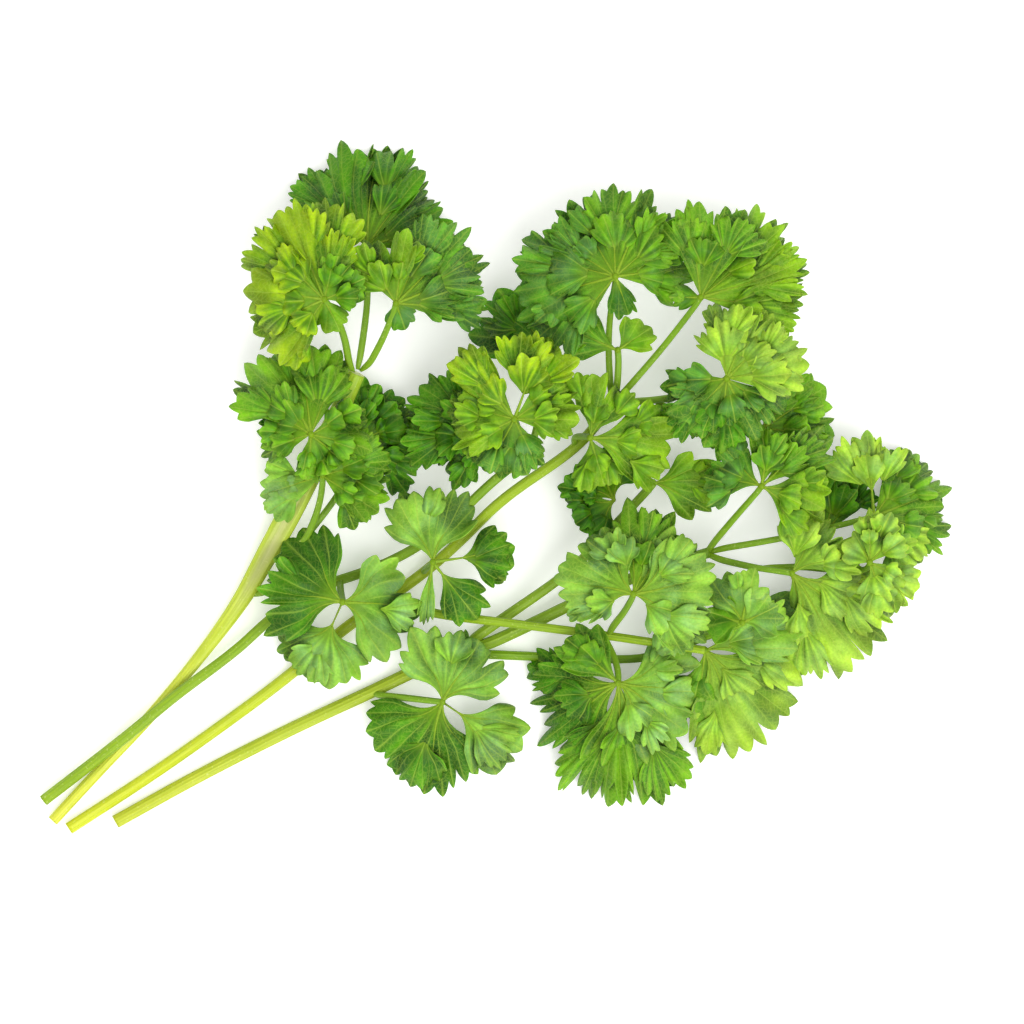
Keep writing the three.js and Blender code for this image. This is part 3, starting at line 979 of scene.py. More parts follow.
@dataclass(frozen=True)
class LeafFinish:
    """A parsley blade: fine forked veins, small puffed fields between them and a soft waxy gloss."""

    name: str
    roughness: float
    vein_share: float

    def make(self) -> bpy.types.Material:
        """Builds the material.

        The mesh carries three distances: out from the hub, from the tooth's vein and from the lobe's
        vein. Side veins run off a tooth's vein as a chevron, wherever out minus distance is a whole
        number of spacings.
        """
        r = Recipe(self.name)
        spot = r.node("ShaderNodeSeparateXYZ")
        r.feed(spot.inputs[0], r.attribute("place", "Vector"))
        out, to_tooth, to_lobe = spot.outputs
        where = r.place()
        wander = r.noise(where, 420.0, 2.0)
        mottle = r.noise(where, 1400.0, 4.0)
        lobe_width = r.ramp(out, 1.0, 20.0, 0.34, 0.1)
        lobe_vein = r.ramp(r.maths("DIVIDE", to_lobe, lobe_width), 0.2, 1.0, 1.0, 0.0)
        tooth_vein = r.ramp(to_tooth, 0.03, 0.13, 1.0, 0.0)
        tooth_vein = r.maths("MULTIPLY", tooth_vein, r.ramp(out, 3.0, 9.0, 0.0, 0.75))
        chevron = r.maths("SUBTRACT", out, r.maths("MULTIPLY", to_tooth, 1.1))
        chevron = r.maths("ADD", r.maths("DIVIDE", chevron, 1.25), r.maths("MULTIPLY", wander, 1.6))
        side_vein = r.ramp(r.maths("PINGPONG", chevron, 0.5), 0.02, 0.12, 1.0, 0.0)
        side_vein = r.maths("MULTIPLY", side_vein, r.ramp(out, 4.0, 10.0, 0.0, 0.55))
        net = r.ramp(r.voronoi("DISTANCE_TO_EDGE", where, 560.0), 0.01, 0.09, 1.0, 0.0)
        net = r.maths("MULTIPLY", net, r.ramp(out, 3.0, 8.0, 0.0, 0.5))
        veins = lobe_vein
        for finer in (tooth_vein, side_vein, net):
            veins = r.maths("MAXIMUM", veins, finer)
        patchy = r.ramp(wander, 0.3, 0.7, 0.6, 1.0)
        share = r.maths("MULTIPLY", r.maths("MULTIPLY", veins, patchy), self.vein_share)
        tint = r.attribute("tint", "Color")
        colour = r.mix(r.ramp(mottle, 0.35, 0.65, 0.0, 0.22), tint, rgba(linear(54, 101, 13)))
        r.dress(
            Base_Color=r.mix(share, colour, rgba(VEIN)),
            Roughness=r.ramp(mottle, 0.3, 0.7, self.roughness - 0.06, self.roughness + 0.08),
            Specular_IOR_Level=0.15,
            Subsurface_Weight=0.25,
            Subsurface_Radius=(0.5, 1.0, 0.2),
            Subsurface_Scale=0.001,
        )
        cells = r.maths("MULTIPLY", r.voronoi("SMOOTH_F1", where, 1500.0), 0.5)
        height = r.maths("SUBTRACT", r.maths("MULTIPLY", mottle, 0.5), r.maths("MULTIPLY", veins, 0.9))
        r.bump(r.maths("SUBTRACT", height, cells), 0.00016, 0.5)
        return r.material


@dataclass(frozen=True)
class StemFinish:
    """A fresh stem: fine lengthwise fibres, a soft gloss and a slightly uneven green."""

    name: str
    roughness: float
    deep: tuple[int, int, int]

    def make(self) -> bpy.types.Material:
        """Builds the material. The mesh carries the place round and along, for lengthwise fibres."""
        r = Recipe(self.name)
        stretch = r.node("ShaderNodeMapping")
        r.feed(stretch.inputs["Vector"], r.attribute("place", "Vector"))
        r.feed(stretch.inputs["Scale"], (2.6, 2.6, 0.07))
        fibres = r.noise(stretch.outputs[0], 1.0, 4.0)
        patches = r.noise(r.place(), 160.0, 3.0)
        specks = r.noise(r.place(), 1600.0, 2.0)
        deep = rgba(linear(*self.deep))
        colour = r.mix(r.ramp(fibres, 0.42, 0.68, 0.0, 0.4), r.attribute("tint", "Color"), deep)
        colour = r.mix(r.ramp(patches, 0.4, 0.7, 0.0, 0.2), colour, deep)
        colour = r.mix(r.ramp(specks, 0.6, 0.75, 0.0, 0.25), colour, rgba(linear(226, 232, 150)))
        r.dress(
            Base_Color=colour,
            Roughness=r.ramp(fibres, 0.3, 0.7, self.roughness - 0.05, self.roughness + 0.1),
            Specular_IOR_Level=0.3,
            Subsurface_Weight=0.2,
            Subsurface_Radius=(0.8, 1.0, 0.3),
            Subsurface_Scale=0.0012,
        )
        r.bump(r.maths("ADD", fibres, r.maths("MULTIPLY", specks, 0.25)), 0.00025, 0.5)
        return r.material


@dataclass(frozen=True)
class PithFinish:
    """A cut end: moist pale pith with a fine grain."""

    name: str = "cut_pith"

    def make(self) -> bpy.types.Material:
        """Builds the material from the colour that the mesh carries and a fine grain."""
        r = Recipe(self.name)
        grain = r.noise(r.place(), 2600.0, 3.0)
        pale = rgba(linear(186, 196, 96))
        r.dress(
            Base_Color=r.mix(r.ramp(grain, 0.4, 0.7, 0.0, 0.35), r.attribute("tint", "Color"), pale),
            Roughness=r.ramp(grain, 0.3, 0.7, 0.4, 0.6),
            Subsurface_Weight=0.3,
            Subsurface_Scale=0.001,
        )
        r.bump(grain, 0.0002, 0.5)
        return r.material


@dataclass(frozen=True)
class TableFinish:
    """A plain white table top, almost smooth and softly lit from below."""

    name: str = "table_white"
    colour: tuple[int, int, int] = (247, 247, 245)
    glow: float = 0.26  # light from below, which keeps the shadows faint

    def make(self) -> bpy.types.Material:
        """Builds the material."""
        r = Recipe(self.name)
        r.dress(
            Base_Color=rgba(linear(*self.colour)),
            Roughness=0.9,
            Specular_IOR_Level=0.1,
            Emission_Color=(1.0, 1.0, 0.97, 1.0),
            Emission_Strength=self.glow,
        )
        return r.material


# ------------------------------------------------------------------------------- the bunch's parts


FULL_FRILL = 0.9  # leaves with more frill than this open straight from the hub
RINGS = (0.8, 1.8)  # mm, how far round a corner the leaf's height is read
HIGHEST = 2.5  # mm, the most that a higher place counts for


def veinless(rows: int, sides: int) -> Array:
    """What a blade's pattern follows where no vein shows: 3 mm from every vein."""
    place = np.zeros((rows, sides, 3))
    place[..., 1:] = 3.0
    return place


@dataclass
class Rib:
    """A raised vein: a tapered cord that runs out from a hub just above the blade."""

    line: Array  # points of its middle, mm
    root: float  # radius at the hub, mm
    tip: float = 0.07  # radius at its end, mm
    sides: int = 8

    def patch(self, tint: Array) -> Patch:
        """Makes the cord's surface.

        Args:
            tint: Its linear colour.

        Returns:
            A closed patch.
        """
        line = evened(self.line, 0.7, 2)
        share = np.linspace(0, 1, len(line))
        radius = self.tip + (self.root - self.tip) * (1 - share) ** 1.5
        section = round_section(radius, self.sides)
        place = veinless(len(line), self.sides)
        return tube(line, section, np.broadcast_to(tint, place.shape), place)


@dataclass
class Leaf:
    """A leaf: leaflets that meet at one hub on the end of a stalk."""

    name: str
    slot: str
    hub: tuple[float, float, float]  # mm, where the part's leaflets meet
    leaflets: tuple[Leaflet, ...]
    frill: float = 1.0  # how many of its lobes fold over the blade, 0 none and 1 many
    hub_radius: float = 0.95  # mm

    def build(self, number: int, material: bpy.types.Material) -> bpy.types.Object:
        """Grows every leaflet, the ribs and the hub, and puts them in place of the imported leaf.

        Args:
            number: Seeds the leaf's small differences.
            material: The blade's material.

        Returns:
            The leaf's object.
        """
        rng = np.random.default_rng(LEAF_SEED + number)
        hub = np.array(self.hub)
        calm = 1 - smooth(self.frill, 0.2, 1.0)
        drawn_in = 0.05 if self.frill > FULL_FRILL else 0.48
        sheets, ribs = [], []
        for leaflet in self.leaflets:
            flatter = replace(
                leaflet,
                crimp=leaflet.crimp * (1 - 0.5 * calm),
                tooth_width=leaflet.tooth_width * (1 + 0.3 * calm),
                vein=leaflet.vein + 0.22 * calm,
            )
            for fan in (flatter, *flatter.folded(self.frill, rng)):
                sheet, fan_ribs = fan.grow(hub, drawn_in, rng)
                sheets.append(sheet)
                ribs += fan_ribs
        self._shade(sheets)
        rib_tint = blend(HEART, VEIN, 0.2)
        piece = Piece(self.name.replace("leaf", "blade", 1), [material])
        for patch in (*sheets, *(rib.patch(rib_tint) for rib in ribs), self._knuckle(hub)):
            piece.add(patch)
        made = piece.build()
        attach(made, BODY)
        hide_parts(self.name)
        return made

    @staticmethod
    def _shade(sheets: list[Patch], cell: float = 0.5) -> None:
        """Darkens each corner by how much of its leaf stands over it nearby.

        The leaf's top is kept as a height on a square grid. Around each corner the rise of that
        height over the corner, never below 0 or above the highest that counts, is averaged on two
        rings.
        Less light and a greener one reaches the places below.

        Args:
            sheets: The leaf's sheets, whose tints are changed.
            cell: Width of a grid square, mm.
        """
        points = np.concatenate([sheet.points for sheet in sheets])
        corner = points[:, :2].min(0) - 3
        size = np.ceil((points[:, :2].max(0) + 3 - corner) / cell).astype(int) + 1
        top = np.full(size, -9.0)
        square = ((points[:, :2] - corner) / cell).astype(int)
        np.maximum.at(top, tuple(square.T), points[:, 2])
        turns = np.linspace(0, 2 * np.pi, 8, endpoint=False)
        around = np.concatenate(
            [ring * np.stack([np.cos(turns), np.sin(turns)], 1) for ring in RINGS]
        )
        for sheet in sheets:
            over = np.zeros(len(sheet.points))
            for offset in around:
                square = ((sheet.points[:, :2] + offset - corner) / cell).astype(int)
                rise = top[tuple(square.T)] - sheet.points[:, 2] - 0.4
                over += np.clip(rise, 0, HIGHEST) / (HIGHEST * len(around))
            light = 1 - 0.68 * smooth(over, 0.05, 0.75)
            sheet.tint = sheet.tint * np.stack([light**1.15, light, light**1.3], 1)

    def _knuckle(self, hub: Array) -> Patch:
        """The small round joint where the leaflets meet: a ball made of rings along the vertical."""
        turn = np.linspace(-1.25, 1.25, 9)
        line = hub + np.stack([0.9 * np.sin(turn), 0 * turn, 0 * turn], 1) * self.hub_radius
        section = round_section(self.hub_radius * np.cos(turn), 12)
        place = veinless(9, 12)
        return tube(line, section, np.broadcast_to(HEART, place.shape), place)


@dataclass
class Stem:
    """A stem, branch or stalk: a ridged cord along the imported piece's own middle line."""

    name: str
    slot: str
    root_tint: tuple[int, int, int]  # at the end nearer the cut
    tip_tint: tuple[int, int, int]
    parent: str | None = None  # the piece that it grows from
    leaf: str | None = None  # the leaf that it carries
    ridges: int = 9
    ridge_depth: float = 0.06  # share of the radius
    sides: int = 36
    sheath: bool = False  # widens into a grooved sheath
    root_share: float = 1.0  # how much of the way to its parent's middle its root goes

    @property
    def turn(self) -> Array:
        """How far round the stem each side lies, anticlockwise from level, radians."""
        return 2 * np.pi * np.arange(self.sides) / self.sides

    def build(
        self,
        lines: dict[str, Array],
        hubs: dict[str, Array],
        materials: list[bpy.types.Material],
        rng: np.random.Generator,
    ) -> bpy.types.Object:
        """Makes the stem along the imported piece, and joins its ends to its parent and its leaf.

        Args:
            lines: Middle lines of the pieces made so far, and this one's is added.
            hubs: Each leaf's hub, mm.
            materials: Its skin and the pith of its cut ends.
            rng: Seeded source of its small differences.

        Returns:
            The stem's object.
        """
        line = self._course(lines, hubs)
        path, radius = line[:, :3], line[:, 3]
        reach = running(np.linalg.norm(np.diff(path, axis=0), axis=1), 0)
        if self.parent is not None:
            radius = radius * (1 - 0.5 * np.exp(-reach / 1.5))
        section, groove = self._section(radius, reach, rng)
        share = (reach / reach[-1])[:, None, None]
        tint = blend(linear(*self.root_tint), linear(*self.tip_tint), share)
        tint = tint * (1 + 0.08 * np.cos(self.ridges * self.turn))[None, :, None]
        if self.sheath:
            tint = blend(tint, GROOVE_TINT, 0.85 * groove[..., None])
        place = np.stack(
            np.broadcast_arrays(np.cos(self.turn) * 1.6, np.sin(self.turn) * 1.6, reach[:, None]), 2
        )
        ends: dict[str, object] = {}
        if self.parent is None:
            ends = {"cap_material": (1, 0), "cap_depth": (0.5, 0.0), "cap_tint": CUT_TINT}
        patch = tube(path, section, tint, place, **ends)
        patch.points[:, 2] = np.maximum(patch.points[:, 2], 0.03)
        piece = Piece("skin_" + self.name, materials)
        piece.add(patch)
        made = piece.build()
        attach(made, BODY)
        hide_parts(self.name)
        return made

    def _course(self, lines: dict[str, Array], hubs: dict[str, Array]) -> Array:
        """The stem's middle line, from inside its parent to its leaf's hub.

        Args:
            lines: Middle lines of the pieces made so far, and this one's is added.
            hubs: Each leaf's hub, mm.

        Returns:
            Rows of x, y, z and radius, mm.
        """
        line = centre_line(self.name)
        if self.leaf is not None:
            away = np.linalg.norm(line[[0, -1], :3] - hubs[self.leaf], axis=1)
            line = line[::-1] if away[0] < away[1] else line
        line = evened(line, 0.9, 10)
        lines[self.name] = line
        if self.parent is not None:
            line = self._rooted(line, lines[self.parent], self.root_share)
        if self.leaf is not None:
            line = np.concatenate([line, [np.append(hubs[self.leaf], line[-1, 3])]])
        return evened(line, 0.8, 6)

    @staticmethod
    def _rooted(line: Array, parent: Array, share: float) -> Array:
        """Carries a line back into its parent, to a point low inside it.

        The parent's point nearest the line's own course is found. The root ends a share of the way
        there, and four tenths of the parent's radius below it.

        Args:
            line: The line's points and radii, mm.
            parent: The parent's points and radii, mm.
            share: How much of the way to the parent's middle the root goes.

        Returns:
            The longer line.
        """
        start = line[0, :3]
        back = start - line[min(4, len(line) - 1), :3]
        back /= np.linalg.norm(back)
        gap = np.linalg.norm(parent[:, :3] - start, axis=1).min()
        aim = start + back * gap
        nearest = parent[np.linalg.norm(parent[:, :3] - aim, axis=1).argmin()]
        root = blend(line[0], nearest, share)
        root[2] = nearest[2] - 0.4 * nearest[3]
        root[3] = line[0, 3]
        return np.concatenate([[root], line])

    def _section(self, radius: Array, reach: Array, rng: np.random.Generator) -> tuple[Array, Array]:
        """The stem's section at each step: a circle with low ridges, or a sheath's grooved oval.

        The ridges add the cosine of their number of turns. The sheath widens to 1.8 times the
        radius near its far end, flattens, and sinks its top by a bell of the angle from straight up.

        Args:
            radius: Radius at each step, mm.
            reach: Distance along, mm.
            rng: Seeded source of the ridges' phases.

        Returns:
            The offsets and the groove's share, both at each step and side.
        """
        turn = self.turn
        phase = rng.uniform(0, 2 * np.pi)
        drift = 0.004 * reach[:, None]
        ridge = 1 + self.ridge_depth * np.cos(self.ridges * turn[None] + phase + drift)
        ridge += 0.02 * np.cos(2 * turn[None] + phase + 5 * drift)
        round_ = np.stack([np.cos(turn), np.sin(turn)], 1)[None] * ridge[..., None]
        offsets = round_ * radius[:, None, None]
        groove = np.zeros((len(radius), self.sides))
        if self.sheath:
            share = reach / reach[-1]
            wide = 1 + 0.8 * smooth(share, 0.35, 0.72) * (1 - 0.75 * smooth(share, 0.78, 1.0))
            open_ = smooth(share, 0.46, 0.64) * (1 - smooth(share, 0.82, 0.98))
            offsets[..., 0] *= wide[:, None]
            bell = np.exp(-(((turn - np.pi / 2) / 0.55) ** 2))
            groove = open_[:, None] * bell[None]
            offsets[..., 1] -= 0.75 * groove * radius[:, None]
        return offsets, groove


# --------------------------------------------------------------------------------- the whole bunch

LEAVES = (
    Leaf("leaf_northwest_left", "leaf_green", (-43.5, 47.2, 28.7), (
        Leaflet(188, 20.5, 55, -6.5, 3, Tone.GOLD),
        Leaflet(-72, 9, 40, -3, 0, Tone.FRESH),
        Leaflet(45, 12.5, 46, -2.5, 1, Tone.MID),
        Leaflet(110, 26.5, 34, -10, 2, Tone.GOLD),
    )),
    Leaf("leaf_northwest_tip", "leaf_dark", (-32.9, 60.5, 15.7), (
        Leaflet(97, 27.5, 44, -16, 4, Tone.DEEP),
        Leaflet(28, 23, 28, -15.9, 2, Tone.DEEP),
    )),
    Leaf("leaf_northwest_right", "leaf_green", (-25.6, 46.2, 25.5), (
        Leaflet(103, 19, 32, -1.2, 2, Tone.FRESH),
        Leaflet(-72, 7, 50, -3, 0, Tone.WAXY),
        Leaflet(29, 27, 40, -11.2, 2, Tone.WAXY),
    )),
    Leaf("leaf_west_top", "leaf_green", (-46.8, 13.5, 24.5), (
        Leaflet(108, 24.5, 44, -11, 2, Tone.MID),
        Leaflet(174, 14.5, 36, -7.5, 1, Tone.MID),
        Leaflet(-58, 12.5, 50, -5, 0, Tone.MID),
        Leaflet(5, 16, 32, -3.8, 1, Tone.MID),
    )),
    Leaf("leaf_west_inner", "leaf_dark", (-35.9, 11.4, 12), (
        Leaflet(52, 17, 42, -6, 1, Tone.DEEP),
        Leaflet(-2, 19, 34, -7.5, 1, Tone.DEEP),
    )),
    Leaf("leaf_west_low", "leaf_green", (-44, 3.3, 19), (
        Leaflet(-10, 18, 40, -0.5, 1, Tone.MID),
        Leaflet(200, 17, 22, -9, 1, Tone.PALE),
    )),
    Leaf("leaf_centre_top", "leaf_light", (4, 17.3, 31.3), (
        Leaflet(182, 18, 38, -7.5, 2, Tone.FRESH),
        Leaflet(130, 23, 17, -2.5, 2, Tone.GOLD),
        Leaflet(70, 23, 20, 0, 1, Tone.GOLD, neck=8),
        Leaflet(18, 17.5, 34, -3.8, 2, Tone.FRESH),
        Leaflet(262, 15.5, 44, -7.5, 1, Tone.WAXY),
    )),
    Leaf("leaf_centre_back", "leaf_dark", (-4, 13.5, 17.6), (
        Leaflet(158, 21.5, 36, -6.2, 1, Tone.DEEP),
        Leaflet(225, 16, 32, -7.5, 1, Tone.DEEP),
    ), hub_radius=0.4),
    Leaf("leaf_north_tip", "leaf_dark", (29.2, 52.9, 30), (
        Leaflet(66, 24, 36, -10, 2, Tone.MID),
        Leaflet(132, 23, 26, -11.2, 2, Tone.WAXY),
        Leaflet(197, 27, 36, -10, 1, Tone.WAXY),
        Leaflet(8, 21, 20, -10, 1, Tone.MID),
        Leaflet(284, 11, 26, -3.8, 0, Tone.DEEP),
    )),
    Leaf("leaf_north_small", "leaf_green", (29.8, 34.5, 22.2), (
        Leaflet(158, 16, 32, -1.2, 1, Tone.MID),
        Leaflet(40, 10.5, 38, -1.2, 1, Tone.FRESH),
    ), frill=0.4),
    Leaf("leaf_north_back", "leaf_dark", (13, 34.6, 14.4), (
        Leaflet(150, 21, 34, -6.2, 1, Tone.DEEP),
    ), frill=0.4),
    Leaf("leaf_northeast_tip", "leaf_green", (50.5, 47.7, 27.4), (
        Leaflet(82, 25, 28, -3, 2, Tone.MID),
        Leaflet(18, 29, 34, -12.5, 1, Tone.FRESH),
        Leaflet(180, 8, 34, -1.2, 0, Tone.MID),
    )),
    Leaf("leaf_northeast_low", "leaf_light", (57, 27.4, 28.7), (
        Leaflet(48, 22, 54, -3.4, 2, Tone.LIGHT),
        Leaflet(210, 17.5, 34, -7.5, 1, Tone.WAXY),
        Leaflet(-52, 17.5, 30, -8.8, 1, Tone.WAXY),
        Leaflet(246, 21.5, 28, -8.8, 1, Tone.DEEP),
    )),
    Leaf("leaf_northeast_edge", "leaf_green", (66, 15, 13.1), (
        Leaflet(30, 19, 46, -6.2, 1, Tone.MID),
    )),
    Leaf("leaf_middle_right", "leaf_green", (22.9, 12.7, 24.8), (
        Leaflet(72, 17, 34, -2.5, 2, Tone.FRESH),
        Leaflet(-8, 22.5, 34, -6.2, 2, Tone.FRESH),
        Leaflet(286, 14, 34, -5, 0, Tone.FRESH),
    ), frill=0.7),
    Leaf("leaf_middle_dark", "leaf_dark", (29, -3, 13.8), (
        Leaflet(120, 15, 60, -5, 0, Tone.DEEP),
        Leaflet(212, 13, 50, -5, 0, Tone.DEEP),
    ), frill=0.7, hub_radius=0.4),
    Leaf("leaf_inner_fan", "leaf_green", (38.7, 1.4, 14.4), (
        Leaflet(-2, 17, 42, -2.5, 1, Tone.FRESH),
    ), frill=0.3),
    Leaf("leaf_east_inner", "leaf_green", (65.7, 0.5, 24.8), (
        Leaflet(152, 16, 36, -5, 1, Tone.WAXY),
        Leaflet(78, 16, 24, -2.5, 1, Tone.MID),
        Leaflet(40, 22, 18, -10, 1, Tone.MID),
        Leaflet(-20, 19, 34, -5, 1, Tone.FRESH),
    ), frill=0.7),
    Leaf("leaf_east_tip", "leaf_green", (93.9, -7, 14.4), (
        Leaflet(20, 21, 48, -14.7, 3, Tone.MID),
        Leaflet(-48, 17, 20, -9, 1, Tone.LIGHT),
        Leaflet(95, 22, 22, -3.8, 1, Tone.LIGHT, neck=6),
    )),
    Leaf("leaf_east_outer", "leaf_light", (92.8, -18.5, 22.2), (
        Leaflet(65, 14, 36, 1.2, 1, Tone.LIGHT),
        Leaflet(128, 9, 50, -1, 0, Tone.LIGHT),
        Leaflet(-48, 15, 36, -7.5, 1, Tone.LIGHT),
    )),
    Leaf("leaf_east_low", "leaf_light", (73.3, -21.2, 17), (
        Leaflet(46, 20, 38, -1, 1, Tone.LIGHT),
        Leaflet(-44, 29.5, 38, -17.3, 3, Tone.LIGHT),
        Leaflet(-78, 10, 14, -6.2, 0, Tone.LIGHT),
    ), frill=0.85),
    Leaf("leaf_east_back", "leaf_dark", (82, -11, 7.9), (
        Leaflet(68, 19, 28, -2.5, 1, Tone.DEEP),
    ), hub_radius=0.4),
    Leaf("leaf_southeast_low", "leaf_light", (51.7, -40.5, 15.7), (
        Leaflet(18, 26, 24, -5, 2, Tone.PALE),
        Leaflet(-48, 28.5, 46, -16, 3, Tone.LIGHT),
        Leaflet(264, 19, 26, -10, 1, Tone.MID),
    ), frill=0.6),
    Leaf("leaf_southeast_top", "leaf_light", (60.9, -33.6, 26.1), (
        Leaflet(95, 14.5, 46, -3.8, 1, Tone.PALE),
        Leaflet(168, 10, 50, -2, 0, Tone.MID),
        Leaflet(26, 11, 50, -2, 0, Tone.PALE),
    ), frill=0.4),
    Leaf("leaf_south_top", "leaf_light", (33.7, -26.4, 31.3), (
        Leaflet(152, 21, 54, -6.2, 2, Tone.PALE),
        Leaflet(2, 22, 52, -6.2, 2, Tone.PALE),
        Leaflet(78, 25, 26, -11.2, 1, Tone.MID),
        Leaflet(42, 21, 28, -9, 1, Tone.PALE),
    ), frill=0.6),
    Leaf("leaf_south_tip", "leaf_green", (29.9, -48.6, 17), (
        Leaflet(136, 18.5, 28, -1, 1, Tone.MID),
        Leaflet(206, 26.5, 46, -17.3, 3, Tone.DEEP),
        Leaflet(-18, 22.5, 58, -7.5, 2, Tone.PALE),
        Leaflet(-82, 33, 33, -17.3, 3, Tone.MID),
    ), frill=0.6),
    Leaf("leaf_lower_west", "leaf_dark", (-39, -28.4, 16.5), (
        Leaflet(155, 22, 54, -5, 2, Tone.DEEP),
        Leaflet(-4, 20.5, 56, -5, 2, Tone.PALE),
        Leaflet(246, 22.5, 62, -10, 0, Tone.PALE, neck=6),
    ), frill=0.15),
    Leaf("leaf_lower_south", "leaf_green", (-14, -53.4, 12.6), (
        Leaflet(72, 20.5, 60, -1.2, 2, Tone.PALE),
        Leaflet(-34, 23.5, 40, -6.2, 1, Tone.PALE, neck=5),
        Leaflet(242, 24, 56, -12.8, 1, Tone.DEEP),
    ), frill=0.2),
    Leaf("leaf_lower_centre", "leaf_green", (-16.4, -18.4, 17), (
        Leaflet(95, 20, 47, -2.5, 2, Tone.PALE),
        Leaflet(8, 21, 38, -5, 1, Tone.DEEP, neck=7),
        Leaflet(-52, 18.5, 32, -5, 0, Tone.DEEP, neck=3),
        Leaflet(262, 16, 9, -6, 1, Tone.PALE),
    ), frill=0.2),
)


def stem(name: str, root: tuple[int, int, int], tip: tuple[int, int, int], **more: object) -> Stem:
    """A main stem with its own colours at both ends."""
    pale = name in ("stem_pale", "stem_yellow", "stem_thick")
    return Stem(name, "stem_yellow_green" if pale else "stem_green", root, tip, **more)


def stalk(name: str, parent: str) -> Stem:
    """A leaf's stalk, which grows from a stem or another stalk."""
    return Stem(
        "stalk_" + name,
        "stalk_green",
        (124, 161, 28),
        (112, 154, 28),
        parent=parent,
        leaf="leaf_" + name,
        root_share=0.7 if parent == "stem_pale" else 1.0,
        ridges=6,
        sides=24,
    )


STEMS = (
    stem("stem_pale", (206, 208, 66), (150, 182, 40), sheath=True, ridges=11),
    stem("stem_dark", (134, 164, 18), (118, 157, 22)),
    stem("stem_yellow", (194, 200, 34), (138, 174, 32), ridges=11),
    stem("stem_thick", (182, 188, 46), (146, 172, 34), ridges=11),
    stem("stem_side", (136, 166, 26), (146, 178, 30), parent="stem_yellow", leaf="leaf_southeast_low"),
    stem("branch_north", (136, 166, 34), (112, 150, 26), parent="stem_thick", leaf="leaf_inner_fan"),
    stem("branch_east", (136, 166, 34), (108, 148, 26), parent="stem_thick"),
    stem(
        "branch_south", (124, 164, 20), (116, 158, 20), parent="stem_thick", leaf="leaf_southeast_top"
    ),
    stalk("northwest_left", "stem_pale"),
    stalk("northwest_tip", "stem_pale"),
    stalk("northwest_right", "stem_pale"),
    stalk("west_top", "stem_pale"),
    stalk("west_inner", "stem_pale"),
    stalk("west_low", "stem_pale"),
    stalk("centre_top", "stem_dark"),
    stalk("north_back", "stem_dark"),
    stalk("middle_right", "stem_yellow"),
    stalk("north_tip", "stem_yellow"),
    stalk("north_small", "stem_yellow"),
    stalk("northeast_tip", "stem_yellow"),
    stalk("northeast_low", "stem_yellow"),
    stalk("northeast_edge", "stalk_northeast_low"),
    stalk("east_inner", "branch_east"),
    stalk("east_tip", "branch_east"),
    stalk("east_low", "branch_east"),
    stalk("east_outer", "stalk_east_low"),
    stalk("south_top", "stem_side"),
    stalk("south_tip", "stem_side"),
    stalk("lower_west", "stem_dark"),
    stalk("lower_south", "stem_thick"),
    stalk("lower_centre", "stem_yellow"),
)


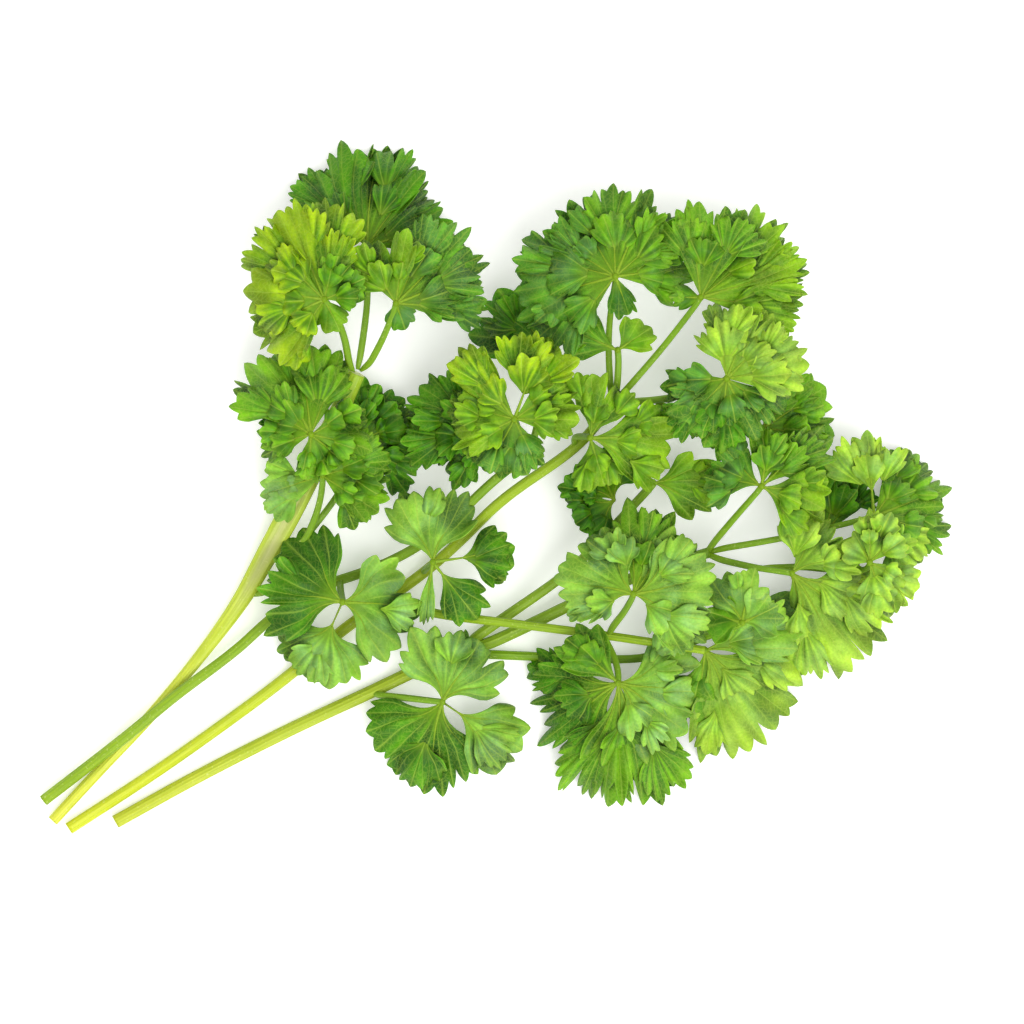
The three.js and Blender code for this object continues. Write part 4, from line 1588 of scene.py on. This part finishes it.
@dataclass
class Studio:
    """A white table under an even sky with one broad lamp, seen from straight above."""

    middle: tuple[float, float] = (3.4, -5.9)  # mm, the point under the camera
    level: float = 12.0  # mm, height that the view is measured at
    width: float = 256.0  # mm across the view at that height
    height: float = 12000.0  # mm from there to the camera
    sky: float = 1.05  # radiance
    lamp: float = 2.1  # W/m2
    lamp_spread: float = 44.0  # degrees that the lamp fills
    lamp_from: tuple[float, float, float] = (0.34, -0.4, 1.0)  # where its light comes from

    side: float = 8.0  # m from the middle of the table to its edge
    drop: float = 0.0002  # m that the table lies below the bunch

    def build(self) -> None:
        """Makes the table, the light and the camera."""
        self._table()
        self._light()
        self._camera()
        bpy.context.scene.view_settings.view_transform = "Standard"

    @staticmethod
    def _add(name: str, data: bpy.types.ID) -> bpy.types.Object:
        """Makes an object of a mesh, lamp or camera, linked to the scene."""
        made = bpy.data.objects.new(name, data)
        bpy.context.scene.collection.objects.link(made)
        return made

    def _table(self) -> None:
        """Makes the table top."""
        side, level = self.side, -self.drop
        corners = [(-side, -side), (side, -side), (side, side), (-side, side)]
        mesh = bpy.data.meshes.new("table")
        mesh.from_pydata([(*corner, level) for corner in corners], [], [(0, 1, 2, 3)])
        mesh.materials.append(TableFinish().make())
        self._add("table", mesh)

    def _light(self) -> None:
        """Makes the even sky and the lamp."""
        world = bpy.data.worlds.new("sky")
        world.use_nodes = True
        sky = world.node_tree.nodes["Background"].inputs
        sky["Color"].default_value = (1.0, 1.0, 1.0, 1.0)
        sky["Strength"].default_value = self.sky
        bpy.context.scene.world = world
        light = bpy.data.lights.new("lamp", "SUN")
        light.energy = self.lamp
        light.angle = np.radians(self.lamp_spread)
        lamp = self._add("lamp", light)
        lamp.rotation_euler = Vector(self.lamp_from).to_track_quat("Z", "Y").to_euler()

    def _camera(self) -> None:
        """Makes the camera, which looks straight down."""
        view = bpy.data.cameras.new("view")
        view.sensor_width = 36.0
        view.lens = view.sensor_width * self.height / self.width
        view.clip_start, view.clip_end = 0.05, 50.0
        camera = self._add("view", view)
        camera.location = (*(MM * place for place in self.middle), (self.level + self.height) * MM)
        bpy.context.scene.camera = camera


def main() -> None:
    """Builds the studio, the stems and the leaves in order."""
    logging.basicConfig(level=logging.INFO, format="%(message)s", stream=sys.stdout)
    Studio().build()
    pith = PithFinish().make()
    skins = {
        "stem_yellow_green": StemFinish("skin_yellow_green", 0.42, (140, 164, 22)).make(),
        "stem_green": StemFinish("skin_green", 0.42, (94, 130, 10)).make(),
        "stalk_green": StemFinish("skin_stalk", 0.45, (88, 128, 12)).make(),
    }
    blades = {
        "leaf_dark": LeafFinish("blade_dark", 0.44, 0.3).make(),
        "leaf_green": LeafFinish("blade_green", 0.47, 0.42).make(),
        "leaf_light": LeafFinish("blade_light", 0.5, 0.5).make(),
    }
    rng = np.random.default_rng(STEM_SEED)
    hubs = {leaf.name: np.array(leaf.hub) for leaf in LEAVES}
    lines: dict[str, Array] = {}
    for made in STEMS:
        piece = made.build(lines, hubs, [skins[made.slot], pith], rng)
        LOG.info("stem %s: %d faces", piece.name, len(piece.data.polygons))
    for number, made in enumerate(LEAVES):
        piece = made.build(number, blades[made.slot])
        LOG.info("leaf %s: %d faces", piece.name, len(piece.data.polygons))
    bpy.context.view_layer.update()


if __name__ == "__main__":
    main()
